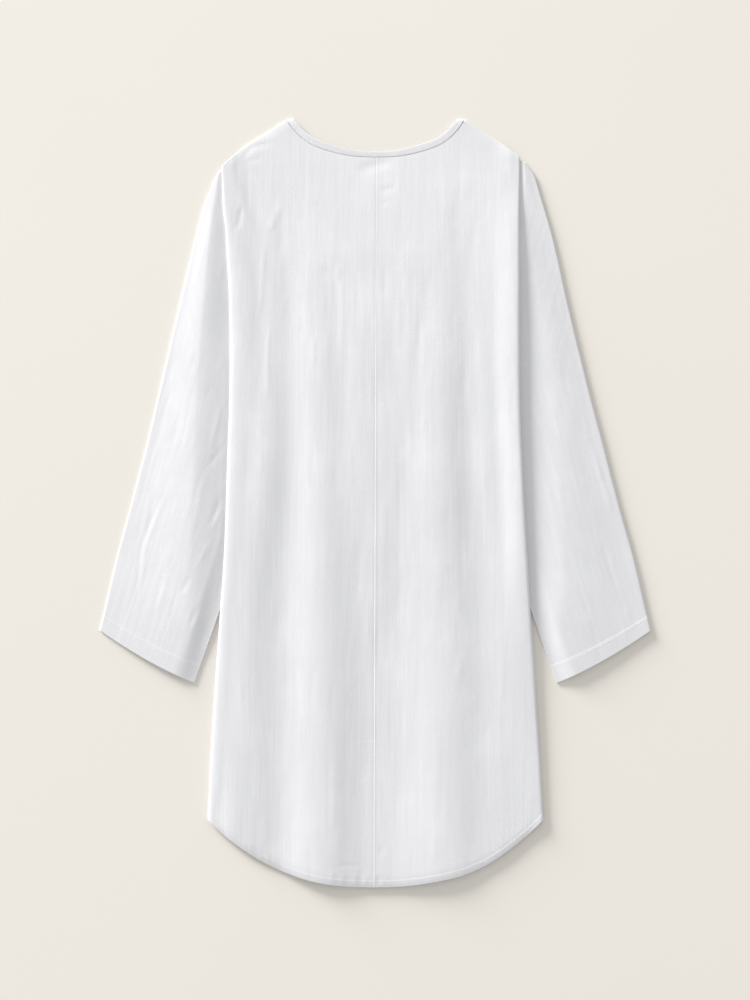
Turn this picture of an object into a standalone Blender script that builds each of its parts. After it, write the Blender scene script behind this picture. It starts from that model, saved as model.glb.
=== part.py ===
"""Long-sleeved linen tunic lying flat, back side up, with its sides folded in over the sleeves.

Sizes are millimetres in the tables and metres in the meshes. +X is the wearer's right, +Y points
to the neck and +Z is up from the surface that the tunic lies on. Each piece is a grid of sections
through its middle surface, thickened by Solidify.
"""

import math

import bmesh
import bpy
import numpy as np

MM = 0.001

# Cloth wall and the room between layers.
CLOTH = 1.1
HALF = CLOTH / 2
GAP = 0.3
LAYER = CLOTH + GAP
BAND_CLOTH = 1.4

# Heights of the middle surface of each layer where the side is folded in, from the floor up.
FRONT_FOLD_R = 0.8
FRONT_Z = HALF
FRONT_RETURN_Z = FRONT_Z + 2 * FRONT_FOLD_R
SLEEVE_UNDER_Z = FRONT_RETURN_Z + LAYER
SLEEVE_OVER_Z = SLEEVE_UNDER_Z + 1.7
BACK_RETURN_Z = SLEEVE_OVER_Z + LAYER
RIM_Z = BACK_RETURN_Z + CLOTH + 3.9

# The back panel between the folded sides.
BACK_Z_TOP = 4.2
BACK_Z_HEM = 3.9
BACK_Z_LOWEST = FRONT_Z + LAYER + 0.1
BACK_Z_HIGHEST = FRONT_Z + CLOTH + 4.0
BACK_Z_NECK = 3.2
STEP_LEAD = 46.0

# Length, neck, hem and centre-back seam.
NECK_HALF = 107.0
NECK_TOP_Y = 459.0
BACK_NECK_Y = 415.0
FRONT_NECK_Y = 352.0
FRONT_NECK_POWER = 2.6
HEM_Y = -460.5
HEM_RISE = 80.0
HEM_HALF = 201.0
HEM_POWER = 2.4
HEM_RETURN_SLOPE = 0.2
FRONT_HEM_SHORTER = 5.0
CENTRE_SEAM_TOP_X = 0.6
CENTRE_SEAM_HEM_X = -2.4
BAND_WIDTH_CENTRE = 6.6
BAND_WIDTH_SIDE = 8.6
BAND_FOLD_ACROSS = (-0.99, 0.12)
BAND_FOLD_GAP = 1.1

# Armhole and side seam, where the folded sides end under the back.
UNDERARM_X = 105.6
UNDERARM_Y = 178.0
SIDE_SEAM_HEM_X = 162.0
TIP_RETURN = 3.0
FRONT_EDGE_INSET = 3.0

# Cuff corners.
CUFF_OUTER_Y = -152.2
CUFF_INNER_X = 217.6
CUFF_INNER_Y = -215.7

LEFT = -1
RIGHT = 1
TIP_Y = {LEFT: 399.0, RIGHT: 409.0}

# Distance of the body's folded side from the centre line.
# y, left, right
BODY_EDGE = (
    (392.0, 184.0, 173.0),
    (353.0, 183.0, 172.6),
    (304.0, 179.4, 172.6),
    (239.0, 175.0, 172.6),
    (184.0, 174.4, 172.6),
    (124.0, 175.0, 173.2),
    (55.0, 177.4, 175.6),
    (-8.0, 179.4, 178.8),
    (-67.0, 181.8, 182.4),
    (-134.0, 186.6, 186.2),
    (-188.0, 190.4, 190.0),
    (-236.0, 193.4, 192.8),
    (-284.0, 196.4, 196.0),
    (-332.0, 199.0, 198.8),
    (-380.0, 201.0, 201.4),
)

# Distance of the sleeve's outer fold from the centre line.
# y, left, right
SLEEVE_EDGE = (
    (412.0, 176.0, 176.0),
    (404.0, 182.6, 183.0),
    (398.0, 187.4, 187.4),
    (391.0, 192.0, 191.6),
    (373.0, 199.0, 197.0),
    (354.0, 206.0, 202.8),
    (316.0, 216.0, 213.6),
    (244.0, 233.4, 229.8),
    (196.0, 244.8, 241.2),
    (124.0, 261.6, 259.2),
    (76.0, 273.0, 272.0),
    (4.0, 291.6, 290.6),
    (-68.0, 311.0, 310.6),
    (-116.0, 322.4, 322.0),
    (-152.2, 331.0, 330.4),
)

# Distance of the sleeve's underarm fold from the centre line.
# y, x
SLEEVE_INNER = (
    (UNDERARM_Y, UNDERARM_X),
    (60.0, 134.6),
    (-60.0, 165.8),
    (-122.0, 184.6),
    (CUFF_INNER_Y, CUFF_INNER_X),
)

# Shoulder line, from the neck to the sleeve.
# x, y
SHOULDER = (
    (107.0, 459.0),
    (130.0, 443.8),
    (145.6, 434.6),
    (160.8, 424.0),
    (174.6, 412.6),
    (185.4, 401.0),
    (192.0, 391.6),
)

# Neck seam across the back.
# x, y
BACK_NECK = (
    (0.0, 415.0),
    (23.0, 415.8),
    (40.0, 418.4),
    (58.0, 422.9),
    (75.0, 429.2),
    (89.0, 438.2),
    (100.0, 449.6),
    (107.0, 459.0),
)

# Long soft folds of the back, each a ridge (height > 0) or a trough (height < 0).
# y_top, y_low, x_top, x_low, half_width_top, half_width_low, height_top, height_low
BACK_FOLDS = (
    (330.0, 60.0, -131.0, -131.0, 13.0, 13.0, 0.7, 0.5),
    (300.0, -400.0, -105.0, -121.0, 15.0, 20.0, -0.7, -1.7),
    (300.0, -455.0, -69.0, -59.0, 22.0, 26.0, 0.5, 1.8),
    (240.0, -455.0, -12.0, -4.0, 13.0, 22.0, -0.4, -1.4),
    (330.0, 40.0, 30.0, 34.0, 14.0, 12.0, 0.4, 0.3),
    (300.0, -445.0, 74.0, 88.0, 22.0, 24.0, 0.8, 1.9),
    (260.0, -330.0, 112.0, 146.0, 15.0, 17.0, -0.8, -1.5),
    (-240.0, -452.0, -88.0, -92.0, 8.0, 9.0, 0.2, 0.8),
    (-200.0, -455.0, 38.0, 44.0, 9.0, 11.0, 0.1, 0.9),
)

# Soft folds along the sleeves, placed as shares of the way from the body to the outer fold.
# side, share_top, share_cuff, half_width, height_top, height_cuff
SLEEVE_FOLDS = (
    (LEFT, 0.16, 0.10, 0.10, -0.7, -1.5),
    (LEFT, 0.50, 0.46, 0.20, 0.5, 0.5),
    (LEFT, 0.84, 0.76, 0.06, -0.4, -0.9),
    (RIGHT, 0.10, 0.08, 0.08, -0.9, -1.2),
    (RIGHT, 0.40, 0.36, 0.16, 0.5, 0.5),
    (RIGHT, 0.76, 0.72, 0.11, -0.8, -1.5),
    (RIGHT, 0.90, 0.93, 0.07, 0.2, 0.4),
)
SLEEVE_CROWN_Z = 5.1
SLEEVE_DROP = 25.0
SLEEVE_CLEAR = 2.0

# Grid lines: distances from the centre line at the shoulder, and counts.
NECK_COLUMNS = (11.0, 23.0, 34.0, 45.0, 56.0, 67.0, 77.0, 86.0, 94.0, 101.0)
BACK_OUTER_CELLS = 7
BACK_ROWS = 23
CURL = 8.0
CORNER = 13.0
CURL_ROWS = (3.0, 1.0, 0.0)
FRONT_NECK_COLUMNS = (0.0, 18.0, 35.0, 50.0, 63.0, 75.0, 85.0, 94.0, 101.0)
FRONT_OUTER_COLUMNS = (NECK_HALF, 128.0, 150.0)
FRONT_ROWS = 17
SLEEVE_ROWS_ABOVE = 8
SLEEVE_ROWS_BELOW = 12
RIM_STEPS = 6

MATERIALS = {
    "linen_back": ((0.80, 0.80, 0.81, 1.0), 0.9),
    "linen_front": ((0.78, 0.78, 0.79, 1.0), 0.9),
    "linen_sleeve": ((0.79, 0.79, 0.80, 1.0), 0.9),
    "linen_band": ((0.82, 0.82, 0.83, 1.0), 0.88),
}


def smooth(value):
    """0 to 1 with level ends, clamped."""
    value = min(1.0, max(0.0, value))
    return value * value * (3.0 - 2.0 * value)


def mix(first, last, share):
    return first + (last - first) * share


def through(rows, column, at):
    """A smooth curve through one column of a table whose first column runs one way."""
    xs = np.array([row[0] for row in rows])
    ys = np.array([row[column] for row in rows])
    if xs[0] > xs[-1]:
        xs, ys = xs[::-1], ys[::-1]
    at = min(max(at, xs[0]), xs[-1])
    slopes = np.diff(ys) / np.diff(xs)
    tangents = np.zeros(len(xs))
    tangents[0], tangents[-1] = slopes[0], slopes[-1]
    for k in range(1, len(xs) - 1):
        if slopes[k - 1] * slopes[k] > 0.0:
            tangents[k] = 2.0 / (1.0 / slopes[k - 1] + 1.0 / slopes[k])
    k = min(int(np.searchsorted(xs, at, side="right")) - 1, len(xs) - 2)
    step = xs[k + 1] - xs[k]
    t = (at - xs[k]) / step
    return float(
        ys[k] * (1 + 2 * t) * (1 - t) ** 2
        + tangents[k] * step * t * (1 - t) ** 2
        + ys[k + 1] * t * t * (3 - 2 * t)
        + tangents[k + 1] * step * t * t * (t - 1)
    )


def column_of(side):
    return 1 if side == LEFT else 2


def body_edge(side, y):
    return through(BODY_EDGE, column_of(side), y)


def front_edge(side, y):
    return body_edge(side, y) - FRONT_EDGE_INSET


def sleeve_edge(side, y):
    return through(SLEEVE_EDGE, column_of(side), y)


def sleeve_inner(y):
    return through(SLEEVE_INNER, 1, y)


def shoulder_y(x):
    return through(SHOULDER, 1, x)


def back_neck_y(x):
    return through(BACK_NECK, 1, abs(x))


def front_neck_y(x):
    share = min(1.0, abs(x) / NECK_HALF)
    return FRONT_NECK_Y + (NECK_TOP_Y - FRONT_NECK_Y) * share**FRONT_NECK_POWER


def hem_y(x):
    return HEM_Y + HEM_RISE * (min(abs(x), HEM_HALF + 4.0) / HEM_HALF) ** HEM_POWER


def neck_normal(neck_y, x):
    """Direction across the neck seam, from the panel to the opening, on the right side."""
    run = 0.5
    high = min(x + run, NECK_HALF)
    slope = (neck_y(high) - neck_y(x - run)) / (high - x + run)
    length = math.hypot(1.0, slope)
    return -slope / length, 1.0 / length


def return_end(side, y):
    """Where the folded-in side ends: the armhole seam above the underarm, the side seam below."""
    tip = front_edge(side, TIP_Y[side]) - TIP_RETURN
    if y >= TIP_Y[side]:
        return tip
    if y >= UNDERARM_Y:
        return mix(UNDERARM_X, tip, (y - UNDERARM_Y) / (TIP_Y[side] - UNDERARM_Y))
    return mix(UNDERARM_X, SIDE_SEAM_HEM_X, (UNDERARM_Y - y) / (UNDERARM_Y + 380.0))


def rim(side, y):
    """Side fold of the back: (x of its crest, height of its crest, half-width of the fold)."""
    grown = smooth((TIP_Y[side] + 4.0 - y) / 75.0)
    crest_z = mix(BACK_RETURN_Z + LAYER + 0.1, RIM_Z, grown)
    reach = mix(1.2, 4.2, grown)
    return body_edge(side, y) - HALF - reach, crest_z, reach


def back_return(side, y):
    """The back's turned-in layer: (inner end, start of its step, end of its step, inner height).

    It lies on the front's turned-in layer, and steps up over the sleeve where that lies between.
    """
    inner = return_end(side, y)
    crest_x = rim(side, y)[0]
    step_end = crest_x - 4.0
    if y < UNDERARM_Y:
        step_end = min(step_end, sleeve_inner(y) - 1.5)
    else:
        step_end = min(step_end, inner + 2.0)
    room = step_end - inner
    step_start = max(inner + 0.4 * room, step_end - 24.0)
    drop = BACK_RETURN_Z - (FRONT_RETURN_Z + LAYER)
    return inner, step_start, step_end, BACK_RETURN_Z - drop * smooth((room - 3.0) / 16.0)


def back_height(side, x, y):
    """Height of the back's middle surface at (x, y), x signed."""
    out = abs(x)
    inner, step_start, step_end, inner_z = back_return(side, y)
    crest_x, crest_z, _ = rim(side, y)
    down = smooth((300.0 - y) / 700.0)
    level = mix(BACK_Z_TOP, BACK_Z_HEM, down)
    for top, low, x_top, x_low, w_top, w_low, h_top, h_low in BACK_FOLDS:
        share = (top - y) / (top - low)
        here = mix(h_top, h_low, min(1.0, max(0.0, share)))
        here *= smooth((top + 45.0 - y) / 90.0) * smooth((y - low + 60.0) / 60.0)
        width = mix(w_top, w_low, min(1.0, max(0.0, share)))
        away = (x - mix(x_top, x_low, share)) / width
        level += here * math.exp(-0.5 * away * away)
    near_neck = smooth((y - 375.0) / 70.0) * (1.0 - smooth((out - 90.0) / 50.0))
    level = mix(level, BACK_Z_NECK, near_neck)
    level = min(BACK_Z_HIGHEST, max(BACK_Z_LOWEST, level))
    over_return = inner_z + LAYER + 0.3
    over_sleeve = BACK_RETURN_Z + LAYER + 0.1
    stack = BACK_Z_LOWEST + (over_return - BACK_Z_LOWEST) * smooth(
        (out - inner + STEP_LEAD) / (STEP_LEAD - 3.0)
    )
    stack += max(0.0, over_sleeve - over_return) * smooth(
        (out - step_start + 12.0) / (step_end - step_start + 6.0)
    )
    rise_start = crest_x - 26.0
    stack += (crest_z - over_sleeve) * smooth((out - rise_start) / (crest_x - rise_start))
    soft = 0.8
    return 0.5 * (level + stack + math.sqrt((level - stack) ** 2 + soft * soft))


def back_x(side, start, y):
    """Signed x, at height y, of the back's grid line that starts from the top at distance start."""
    top_crest = rim(side, TIP_Y[side] + 4.0)[0]
    centre = mix(CENTRE_SEAM_HEM_X, CENTRE_SEAM_TOP_X, (y - HEM_Y) / (BACK_NECK_Y - HEM_Y))
    share = start / top_crest
    return side * share * rim(side, y)[0] + (centre + side * GAP / 2) * (1.0 - share)


def front_base(side, y):
    """Distance from the centre line where the front starts to turn over."""
    return front_edge(side, y) - HALF - FRONT_FOLD_R


def front_x(side, start, y):
    """Signed x, at height y, of the front's grid line that starts from the top at distance start."""
    return side * start * front_base(side, y) / front_base(side, TIP_Y[side])


def fold_arc(x, z, reach, rise, steps, first, last):
    """Points round a fold, from angle first to angle last, in degrees from +X, ends left out."""
    points = []
    for k in range(1, steps):
        angle = math.radians(mix(first, last, k / steps))
        points.append((x + reach * math.cos(angle), z + rise * math.sin(angle)))
    return points


def row_shares(count, ends=0.0):
    """Shares of the length from hem to top, a little closer together at the hem."""
    shares = [k / count for k in range(count + 1)]
    return [mix(s, s**1.15, ends) for s in shares]


def grid_object(name, sections, material, thickness, weld=False):
    """A sheet through equal-length sections (metres), thickened to both sides."""
    rows, columns = len(sections), len(sections[0])
    sheet = bmesh.new()
    bmesh.ops.create_grid(sheet, x_segments=columns - 1, y_segments=rows - 1, size=1.0)
    for vertex in sheet.verts:
        column = round((vertex.co.x + 1.0) / 2.0 * (columns - 1))
        row = round((vertex.co.y + 1.0) / 2.0 * (rows - 1))
        vertex.co = [value * MM for value in sections[row][column]]
    if weld:
        bmesh.ops.remove_doubles(sheet, verts=sheet.verts, dist=0.000001)
    bmesh.ops.recalc_face_normals(sheet, faces=sheet.faces)
    mesh = bpy.data.meshes.new(name)
    sheet.to_mesh(mesh)
    sheet.free()
    mesh.shade_smooth()
    mesh.set_sharp_from_angle(angle=math.radians(50.0))
    mesh.materials.append(material)
    piece = bpy.data.objects.new(name, mesh)
    tunic.objects.link(piece)
    wall = piece.modifiers.new("cloth", "SOLIDIFY")
    wall.thickness = thickness * MM
    wall.offset = 0.0
    wall.use_even_offset = True
    wall.use_quality_normals = True
    return piece


def back_sections(side):
    """Sections of one half of the back, hem first, each from the centre seam out and under."""
    top_crest = rim(side, TIP_Y[side] + 4.0)[0]
    starts = [0.0, *NECK_COLUMNS, NECK_HALF]
    starts += [mix(NECK_HALF, top_crest, (k + 1) / BACK_OUTER_CELLS) for k in range(BACK_OUTER_CELLS)]
    tops = [back_neck_y(x) if x < NECK_HALF else shoulder_y(x) for x in starts]
    rows = [("share", share) for share in row_shares(BACK_ROWS, 0.6)]
    rows += [("below", distance) for distance in CURL_ROWS]
    sections = []
    for kind, amount in rows:
        section = []
        for start, top in zip(starts, tops):
            shoulder = 1.0 if start >= NECK_HALF else 0.0
            low = hem_y(start * HEM_HALF / top_crest)
            y = mix(low, top - CURL, amount) if kind == "share" else top - amount
            x = back_x(side, start, y)
            z = back_height(side, x, y)
            if shoulder:
                corner = smooth((start - top_crest + CORNER) / CORNER)
                edge_z = mix(FRONT_Z + HALF + GAP + 0.52, z, corner)
                away = min(1.0, (top - y) / CURL)
                z = mix(edge_z, z, math.sqrt(1.0 - (1.0 - away) ** 2))
            elif kind == "below":
                normal = neck_normal(back_neck_y, start)
                x += side * -normal[0] * GAP / 2 * (1.0 if start else 0.0)
                y -= normal[1] * GAP / 2
            section.append((x, y, z))
        x, y, z = section[-1]
        crest_x, crest_z, reach = rim(side, y)
        middle, rise = (z + BACK_RETURN_Z) / 2, (z - BACK_RETURN_Z) / 2
        inner, step_start, step_end, inner_z = back_return(side, y)
        under = fold_arc(crest_x, middle, reach, rise, RIM_STEPS, 90.0, -90.0)
        under += [(crest_x, BACK_RETURN_Z), (step_end, BACK_RETURN_Z), (step_start, inner_z)]
        under += [(inner, inner_z)]
        lift = HEM_RETURN_SLOPE * (1.0 - smooth((y - hem_y(HEM_HALF)) / 60.0))
        for out, height in under:
            section.append((side * out, y + lift * max(0.0, crest_x - out), height))
        sections.append(section)
    return sections


def front_sections():
    """Sections of the front, hem first, each from the left side seam round to the right one."""
    halves = []
    for side in (LEFT, RIGHT):
        top_base = front_base(side, TIP_Y[side])
        starts = [*FRONT_NECK_COLUMNS, *FRONT_OUTER_COLUMNS, top_base]
        tops = [front_neck_y(x) if x < NECK_HALF else shoulder_y(x) + 0.4 for x in starts]
        half = []
        for share in row_shares(FRONT_ROWS, 0.5):
            section = []
            for start, top in zip(starts, tops):
                low = hem_y(start * HEM_HALF / (top_base + FRONT_EDGE_INSET)) + FRONT_HEM_SHORTER
                y = mix(low, top, share)
                x = front_x(side, start, y)
                if share == 1.0 and start < NECK_HALF:
                    normal = neck_normal(front_neck_y, start)
                    x -= side * normal[0] * GAP / 2 * (1.0 if start else 0.0)
                    y -= normal[1] * GAP / 2
                section.append((x, y, FRONT_Z))
            y = section[-1][1]
            base = abs(section[-1][0])
            middle = FRONT_Z + FRONT_FOLD_R
            inner = return_end(side, y)
            over = fold_arc(base, middle, FRONT_FOLD_R, FRONT_FOLD_R, 3, -90.0, 90.0)
            over += [(base, FRONT_RETURN_Z), (mix(base, inner, 0.5), FRONT_RETURN_Z)]
            over += [(inner, FRONT_RETURN_Z)]
            lift = HEM_RETURN_SLOPE * (1.0 - smooth((y - hem_y(HEM_HALF)) / 60.0))
            for out, height in over:
                section.append((side * out, y + lift * max(0.0, base - out), height))
            half.append(section)
        halves.append(half)
    return [left[:0:-1] + right for left, right in zip(*halves)]


def sleeve_heights(side, x, y, edge):
    """Heights of the sleeve's (lower, upper) layer at distance x from the centre line."""
    away = x - front_edge(side, y) - SLEEVE_CLEAR
    under = mix(SLEEVE_UNDER_Z, FRONT_Z + 0.03, smooth(away / SLEEVE_DROP))
    start = body_edge(side, y) + 1.0
    if x <= start:
        return under, SLEEVE_OVER_Z
    share = (x - start) / max(6.0, edge - start)
    down = min(1.0, max(0.0, (TIP_Y[side] - y) / (TIP_Y[side] - CUFF_INNER_Y)))
    over = mix(SLEEVE_OVER_Z, SLEEVE_CROWN_Z, smooth((x - start) / 20.0))
    for of_side, s_top, s_cuff, width, h_top, h_cuff in SLEEVE_FOLDS:
        if of_side == side:
            away = (share - mix(s_top, s_cuff, down)) / width
            over += mix(h_top, h_cuff, down) * math.exp(-0.5 * away * away)
    over = mix(SLEEVE_OVER_Z, over, smooth((x - start) / 12.0))
    return under, min(under + CLOTH + 3.95, max(under + LAYER + 0.5, over))


def sleeve_sections(side):
    """Sections across one sleeve from the shoulder down, each from the underarm edge of the
    upper layer out round the outer fold and back to the underarm edge of the lower layer."""
    rows = []
    for k in range(SLEEVE_ROWS_ABOVE):
        y = mix(TIP_Y[side], UNDERARM_Y, (k / SLEEVE_ROWS_ABOVE) ** 1.3)
        rows.append((y, y, False))
    for k in range(SLEEVE_ROWS_BELOW + 1):
        share = k / SLEEVE_ROWS_BELOW
        rows.append((mix(UNDERARM_Y, CUFF_INNER_Y, share), mix(UNDERARM_Y, CUFF_OUTER_Y, share), True))
    sections = []
    for inner_y, outer_y, closed in rows:
        inner = sleeve_inner(inner_y) if closed else return_end(side, inner_y)
        edge = sleeve_edge(side, outer_y)
        hem_r = (SLEEVE_OVER_Z - SLEEVE_UNDER_Z) / 2

        def level(out):
            return mix(inner_y, outer_y, (out - inner) / (edge - inner))

        crossing = front_edge(side, inner_y) + SLEEVE_CLEAR
        for _ in range(3):
            crossing = front_edge(side, level(crossing)) + SLEEVE_CLEAR
        crossing = max(crossing, inner + 7.0)
        fold = min(2.1, 0.3 * (edge - crossing))
        last = edge - HALF - fold
        outs = [inner + hem_r + 0.3, mix(inner + hem_r + 0.3, crossing, 0.5)]
        outs += [mix(crossing, last, share) for share in (0.0, 0.09, 0.2, 0.32, 0.45, 0.58, 0.7, 0.8, 0.9, 1.0)]
        upper = [(out, sleeve_heights(side, out, level(out), edge)[1]) for out in outs]
        few = [out for k, out in enumerate(outs) if k in (0, 2, 4, 6, 8, 11)]
        lower = [(out, sleeve_heights(side, out, level(out), edge)[0]) for out in few]
        high, low = upper[-1][1], lower[-1][1]
        rounded = fold_arc(last, (high + low) / 2, fold, (high - low) / 2, 4, 90.0, -90.0)
        seam = (SLEEVE_OVER_Z + SLEEVE_UNDER_Z) / 2
        if closed:
            over_end = sleeve_heights(side, inner + hem_r, level(inner), edge)
            seam, hem_rise = (over_end[0] + upper[0][1]) / 2, (upper[0][1] - over_end[0]) / 2
            start = [(inner, seam)]
            start += fold_arc(inner + hem_r, seam, hem_r, hem_rise, 2, 180.0, 90.0)
            start += [(inner + hem_r, seam + hem_rise)]
            end = [(inner + hem_r, seam - hem_rise)]
            end += fold_arc(inner + hem_r, seam, hem_r, hem_rise, 2, 270.0, 180.0)
            end += [(inner, seam)]
        else:
            start = [(inner + step * hem_r, SLEEVE_OVER_Z) for step in (0.0, 0.5, 1.0)]
            end = [(inner + step * hem_r, SLEEVE_UNDER_Z) for step in (1.0, 0.5, 0.0)]
        ring = start + upper + rounded + lower[::-1] + end
        sections.append([(side * out, level(out), height) for out, height in ring])
    return sections


def band_sections():
    """The neck binding as a closed ring of short sections, from its seam to its free edge."""
    ring = []
    for side in (RIGHT, LEFT):
        half = []
        for start in (0.0, *NECK_COLUMNS):
            normal = neck_normal(back_neck_y, start)
            width = mix(BAND_WIDTH_CENTRE, BAND_WIDTH_SIDE, smooth(start / 55.0))
            y = back_neck_y(start)
            x = side * (back_x(side, start, y) if start else CENTRE_SEAM_TOP_X)
            z = back_height(side, side * x, y)
            across = (normal[0] if start else 0.0, normal[1])
            near = mix(GAP / 2, BAND_FOLD_GAP / 3, smooth((start - 80.0) / 14.0))
            half.append([
                (x + across[0] * along, y + across[1] * along, z)
                for along in (near, mix(near, width, 0.5), width)
            ])
        back_z, front_z = BACK_Z_NECK, BAND_CLOTH / 2
        turn = (back_z - front_z) / 2
        for angle in (90.0, 45.0, 0.0, -45.0, -90.0):
            neck_y = back_neck_y if angle >= 0.0 else front_neck_y
            normal = neck_normal(neck_y, NECK_HALF - 1.0)
            set_back = turn * (1.0 - math.cos(math.radians(angle)))
            x = NECK_HALF - normal[1] * set_back
            y = NECK_TOP_Y + normal[0] * set_back
            z = (back_z + front_z) / 2 + turn * math.sin(math.radians(angle))
            half.append([
                (x + BAND_FOLD_ACROSS[0] * along, y + BAND_FOLD_ACROSS[1] * along, z)
                for along in (BAND_FOLD_GAP, BAND_WIDTH_SIDE / 2, BAND_WIDTH_SIDE)
            ])
        for start in FRONT_NECK_COLUMNS[::-1]:
            normal = neck_normal(front_neck_y, start)
            y = front_neck_y(start)
            across = (normal[0] if start else 0.0, normal[1])
            near = mix(GAP / 2, BAND_FOLD_GAP / 3, smooth((start - 80.0) / 14.0))
            x = side * front_x(side, start, y)
            half.append([
                (x + across[0] * along, y + across[1] * along, front_z)
                for along in (near, BAND_WIDTH_SIDE / 2, BAND_WIDTH_SIDE)
            ])
        half = [[(side * x, y, z) for x, y, z in section] for section in half]
        ring += half if side == RIGHT else half[-2::-1]
    return ring


for old in list(bpy.data.objects):
    bpy.data.objects.remove(old, do_unlink=True)

tunic = bpy.data.collections.new("tunic_top")
bpy.context.scene.collection.children.link(tunic)

made = {}
for title, (colour, roughness) in MATERIALS.items():
    made[title] = bpy.data.materials.new(title)
    made[title].use_nodes = True
    shader = made[title].node_tree.nodes["Principled BSDF"]
    shader.inputs["Base Color"].default_value = colour
    shader.inputs["Roughness"].default_value = roughness
    shader.inputs["Metallic"].default_value = 0.0

grid_object("front", front_sections(), made["linen_front"], CLOTH)
grid_object("back_left", back_sections(LEFT), made["linen_back"], CLOTH)
grid_object("back_right", back_sections(RIGHT), made["linen_back"], CLOTH)
grid_object("sleeve_left", sleeve_sections(LEFT), made["linen_sleeve"], CLOTH, weld=True)
grid_object("sleeve_right", sleeve_sections(RIGHT), made["linen_sleeve"], CLOTH, weld=True)
grid_object("neck_binding", band_sections(), made["linen_band"], BAND_CLOTH, weld=True)
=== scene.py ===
# %% [markdown]
# # A linen tunic top, lying face down
#
# The garment is a long-sleeved pull-on tunic in white linen, laid flat with its back up. Its two
# sides are folded in, so a soft fold of the back stands over the top of each sleeve.
#
# The solid parts come first, as a fixed frame. Everything below dresses them: each sewn piece
# becomes a thin shell on the solid's own form, with creases, hems, stitches and a linen finish.

# %% Load the frame
import math

import bmesh
import bpy
import numpy as np
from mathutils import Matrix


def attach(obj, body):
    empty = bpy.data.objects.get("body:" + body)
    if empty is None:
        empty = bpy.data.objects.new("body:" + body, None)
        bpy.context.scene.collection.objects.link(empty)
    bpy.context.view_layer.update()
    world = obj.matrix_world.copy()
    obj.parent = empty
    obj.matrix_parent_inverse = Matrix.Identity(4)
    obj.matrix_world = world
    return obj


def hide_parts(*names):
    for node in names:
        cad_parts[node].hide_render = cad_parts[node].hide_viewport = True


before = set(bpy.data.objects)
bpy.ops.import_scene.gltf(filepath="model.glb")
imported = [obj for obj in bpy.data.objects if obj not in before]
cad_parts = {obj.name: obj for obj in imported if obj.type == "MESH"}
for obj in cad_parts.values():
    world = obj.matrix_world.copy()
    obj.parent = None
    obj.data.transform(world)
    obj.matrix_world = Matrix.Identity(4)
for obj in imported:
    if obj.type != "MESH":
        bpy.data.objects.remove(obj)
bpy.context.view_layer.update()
print("solids in the frame:", sorted(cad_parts))

# %% [markdown]
# ## Sizes
#
# A maker works from a few sizes: the body length, the neck, the sleeve and the hem curve. They
# are kept here in millimetres, in the frame of the solids: +X is the wearer's right, +Y points
# to the neck and +Z is up from the table. Heights are those of the middle of each layer.

# %% Cloth, layers and driving sizes
MM = 0.001
LEFT, RIGHT = -1, 1

LINEN = 0.5
BAND_LINEN = 0.7
GAP = 0.3
SEAM_GAP = 0.1
LAYER = 0.8

FRONT_Z = 0.27
FRONT_RETURN_Z = 1.07
SLEEVE_UNDER_Z = 1.87
SLEEVE_OVER_Z = 2.67
BACK_RETURN_Z = 3.5
BACK_RETURN_LOW_Z = 1.9
BACK_Z_LOWEST = 1.75
BACK_Z_NECK = 2.5
SHOULDER_DIP = 0.6
STEP_LEAD = 40.0
RIM_RISE = 30.0

NECK_HALF = 107.0
NECK_TOP_Y = 459.0
BACK_NECK_Y = 415.0
FRONT_NECK_Y = 352.0
FRONT_NECK_POWER = 2.6
HEM_Y = -460.5
HEM_RISE = 80.0
HEM_HALF = 201.0
HEM_POWER = 2.4
HEM_RETURN_SLOPE = 0.2
FRONT_HEM_SHORTER = 5.0
CENTRE_SEAM_TOP_X = 0.6
CENTRE_SEAM_HEM_X = -2.4
BAND_WIDTH_CENTRE = 6.6
BAND_WIDTH_SIDE = 8.6
BAND_FOLD_ACROSS = (-0.99, 0.12)
BAND_FOLD_GAP = 1.1

UNDERARM_X = 105.6
UNDERARM_Y = 178.0
SIDE_SEAM_HEM_X = 162.0
TIP_RETURN = 3.0
FRONT_EDGE_INSET = 3.0
CUFF_OUTER_Y = -152.2
CUFF_INNER_X = 217.6
CUFF_INNER_Y = -215.7
TIP_Y = {LEFT: 399.0, RIGHT: 409.0}
SLEEVE_DROP = 25.0
SLEEVE_CLEAR = 2.0

HEM_WIDTH = 8.0
CUFF_HEM_WIDTH = 19.0
HEM_PLY = 0.25
HEM_DIP = 15.0
HEM_FALL = 1.2
HEM_CORNER = 1.0
HEM_FOLD_SLOPE = 0.95
HEM_FULLER = {LEFT: 0.0, RIGHT: 3.2}
CUFF_BOW = 4.0
CURL = 12.0
CORNER = 13.0

print(f"body {NECK_TOP_Y - HEM_Y:.0f} mm long, {2 * HEM_HALF:.0f} mm across the hem")

# %% [markdown]
# The outline is not straight anywhere, so short tables give it at a few heights, and a smooth
# curve runs through them. Each table has named columns. The left and right sides differ by a few
# millimetres, as they do on real cloth that was folded by hand.

# %% Outline tables
# y, left, right: distance of the body's folded side from the centre line
BODY_EDGE = (
    (392.0, 184.0, 173.0),
    (353.0, 182.6, 172.6),
    (328.0, 179.6, 172.6),
    (304.0, 178.4, 172.6),
    (239.0, 175.0, 172.6),
    (184.0, 174.4, 172.6),
    (124.0, 175.0, 173.2),
    (55.0, 177.4, 175.6),
    (-8.0, 179.4, 178.8),
    (-67.0, 181.8, 182.4),
    (-134.0, 186.6, 186.2),
    (-188.0, 190.4, 190.0),
    (-236.0, 193.4, 192.8),
    (-284.0, 196.4, 196.0),
    (-332.0, 199.0, 198.8),
    (-380.0, 201.0, 201.4),
)
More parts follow.
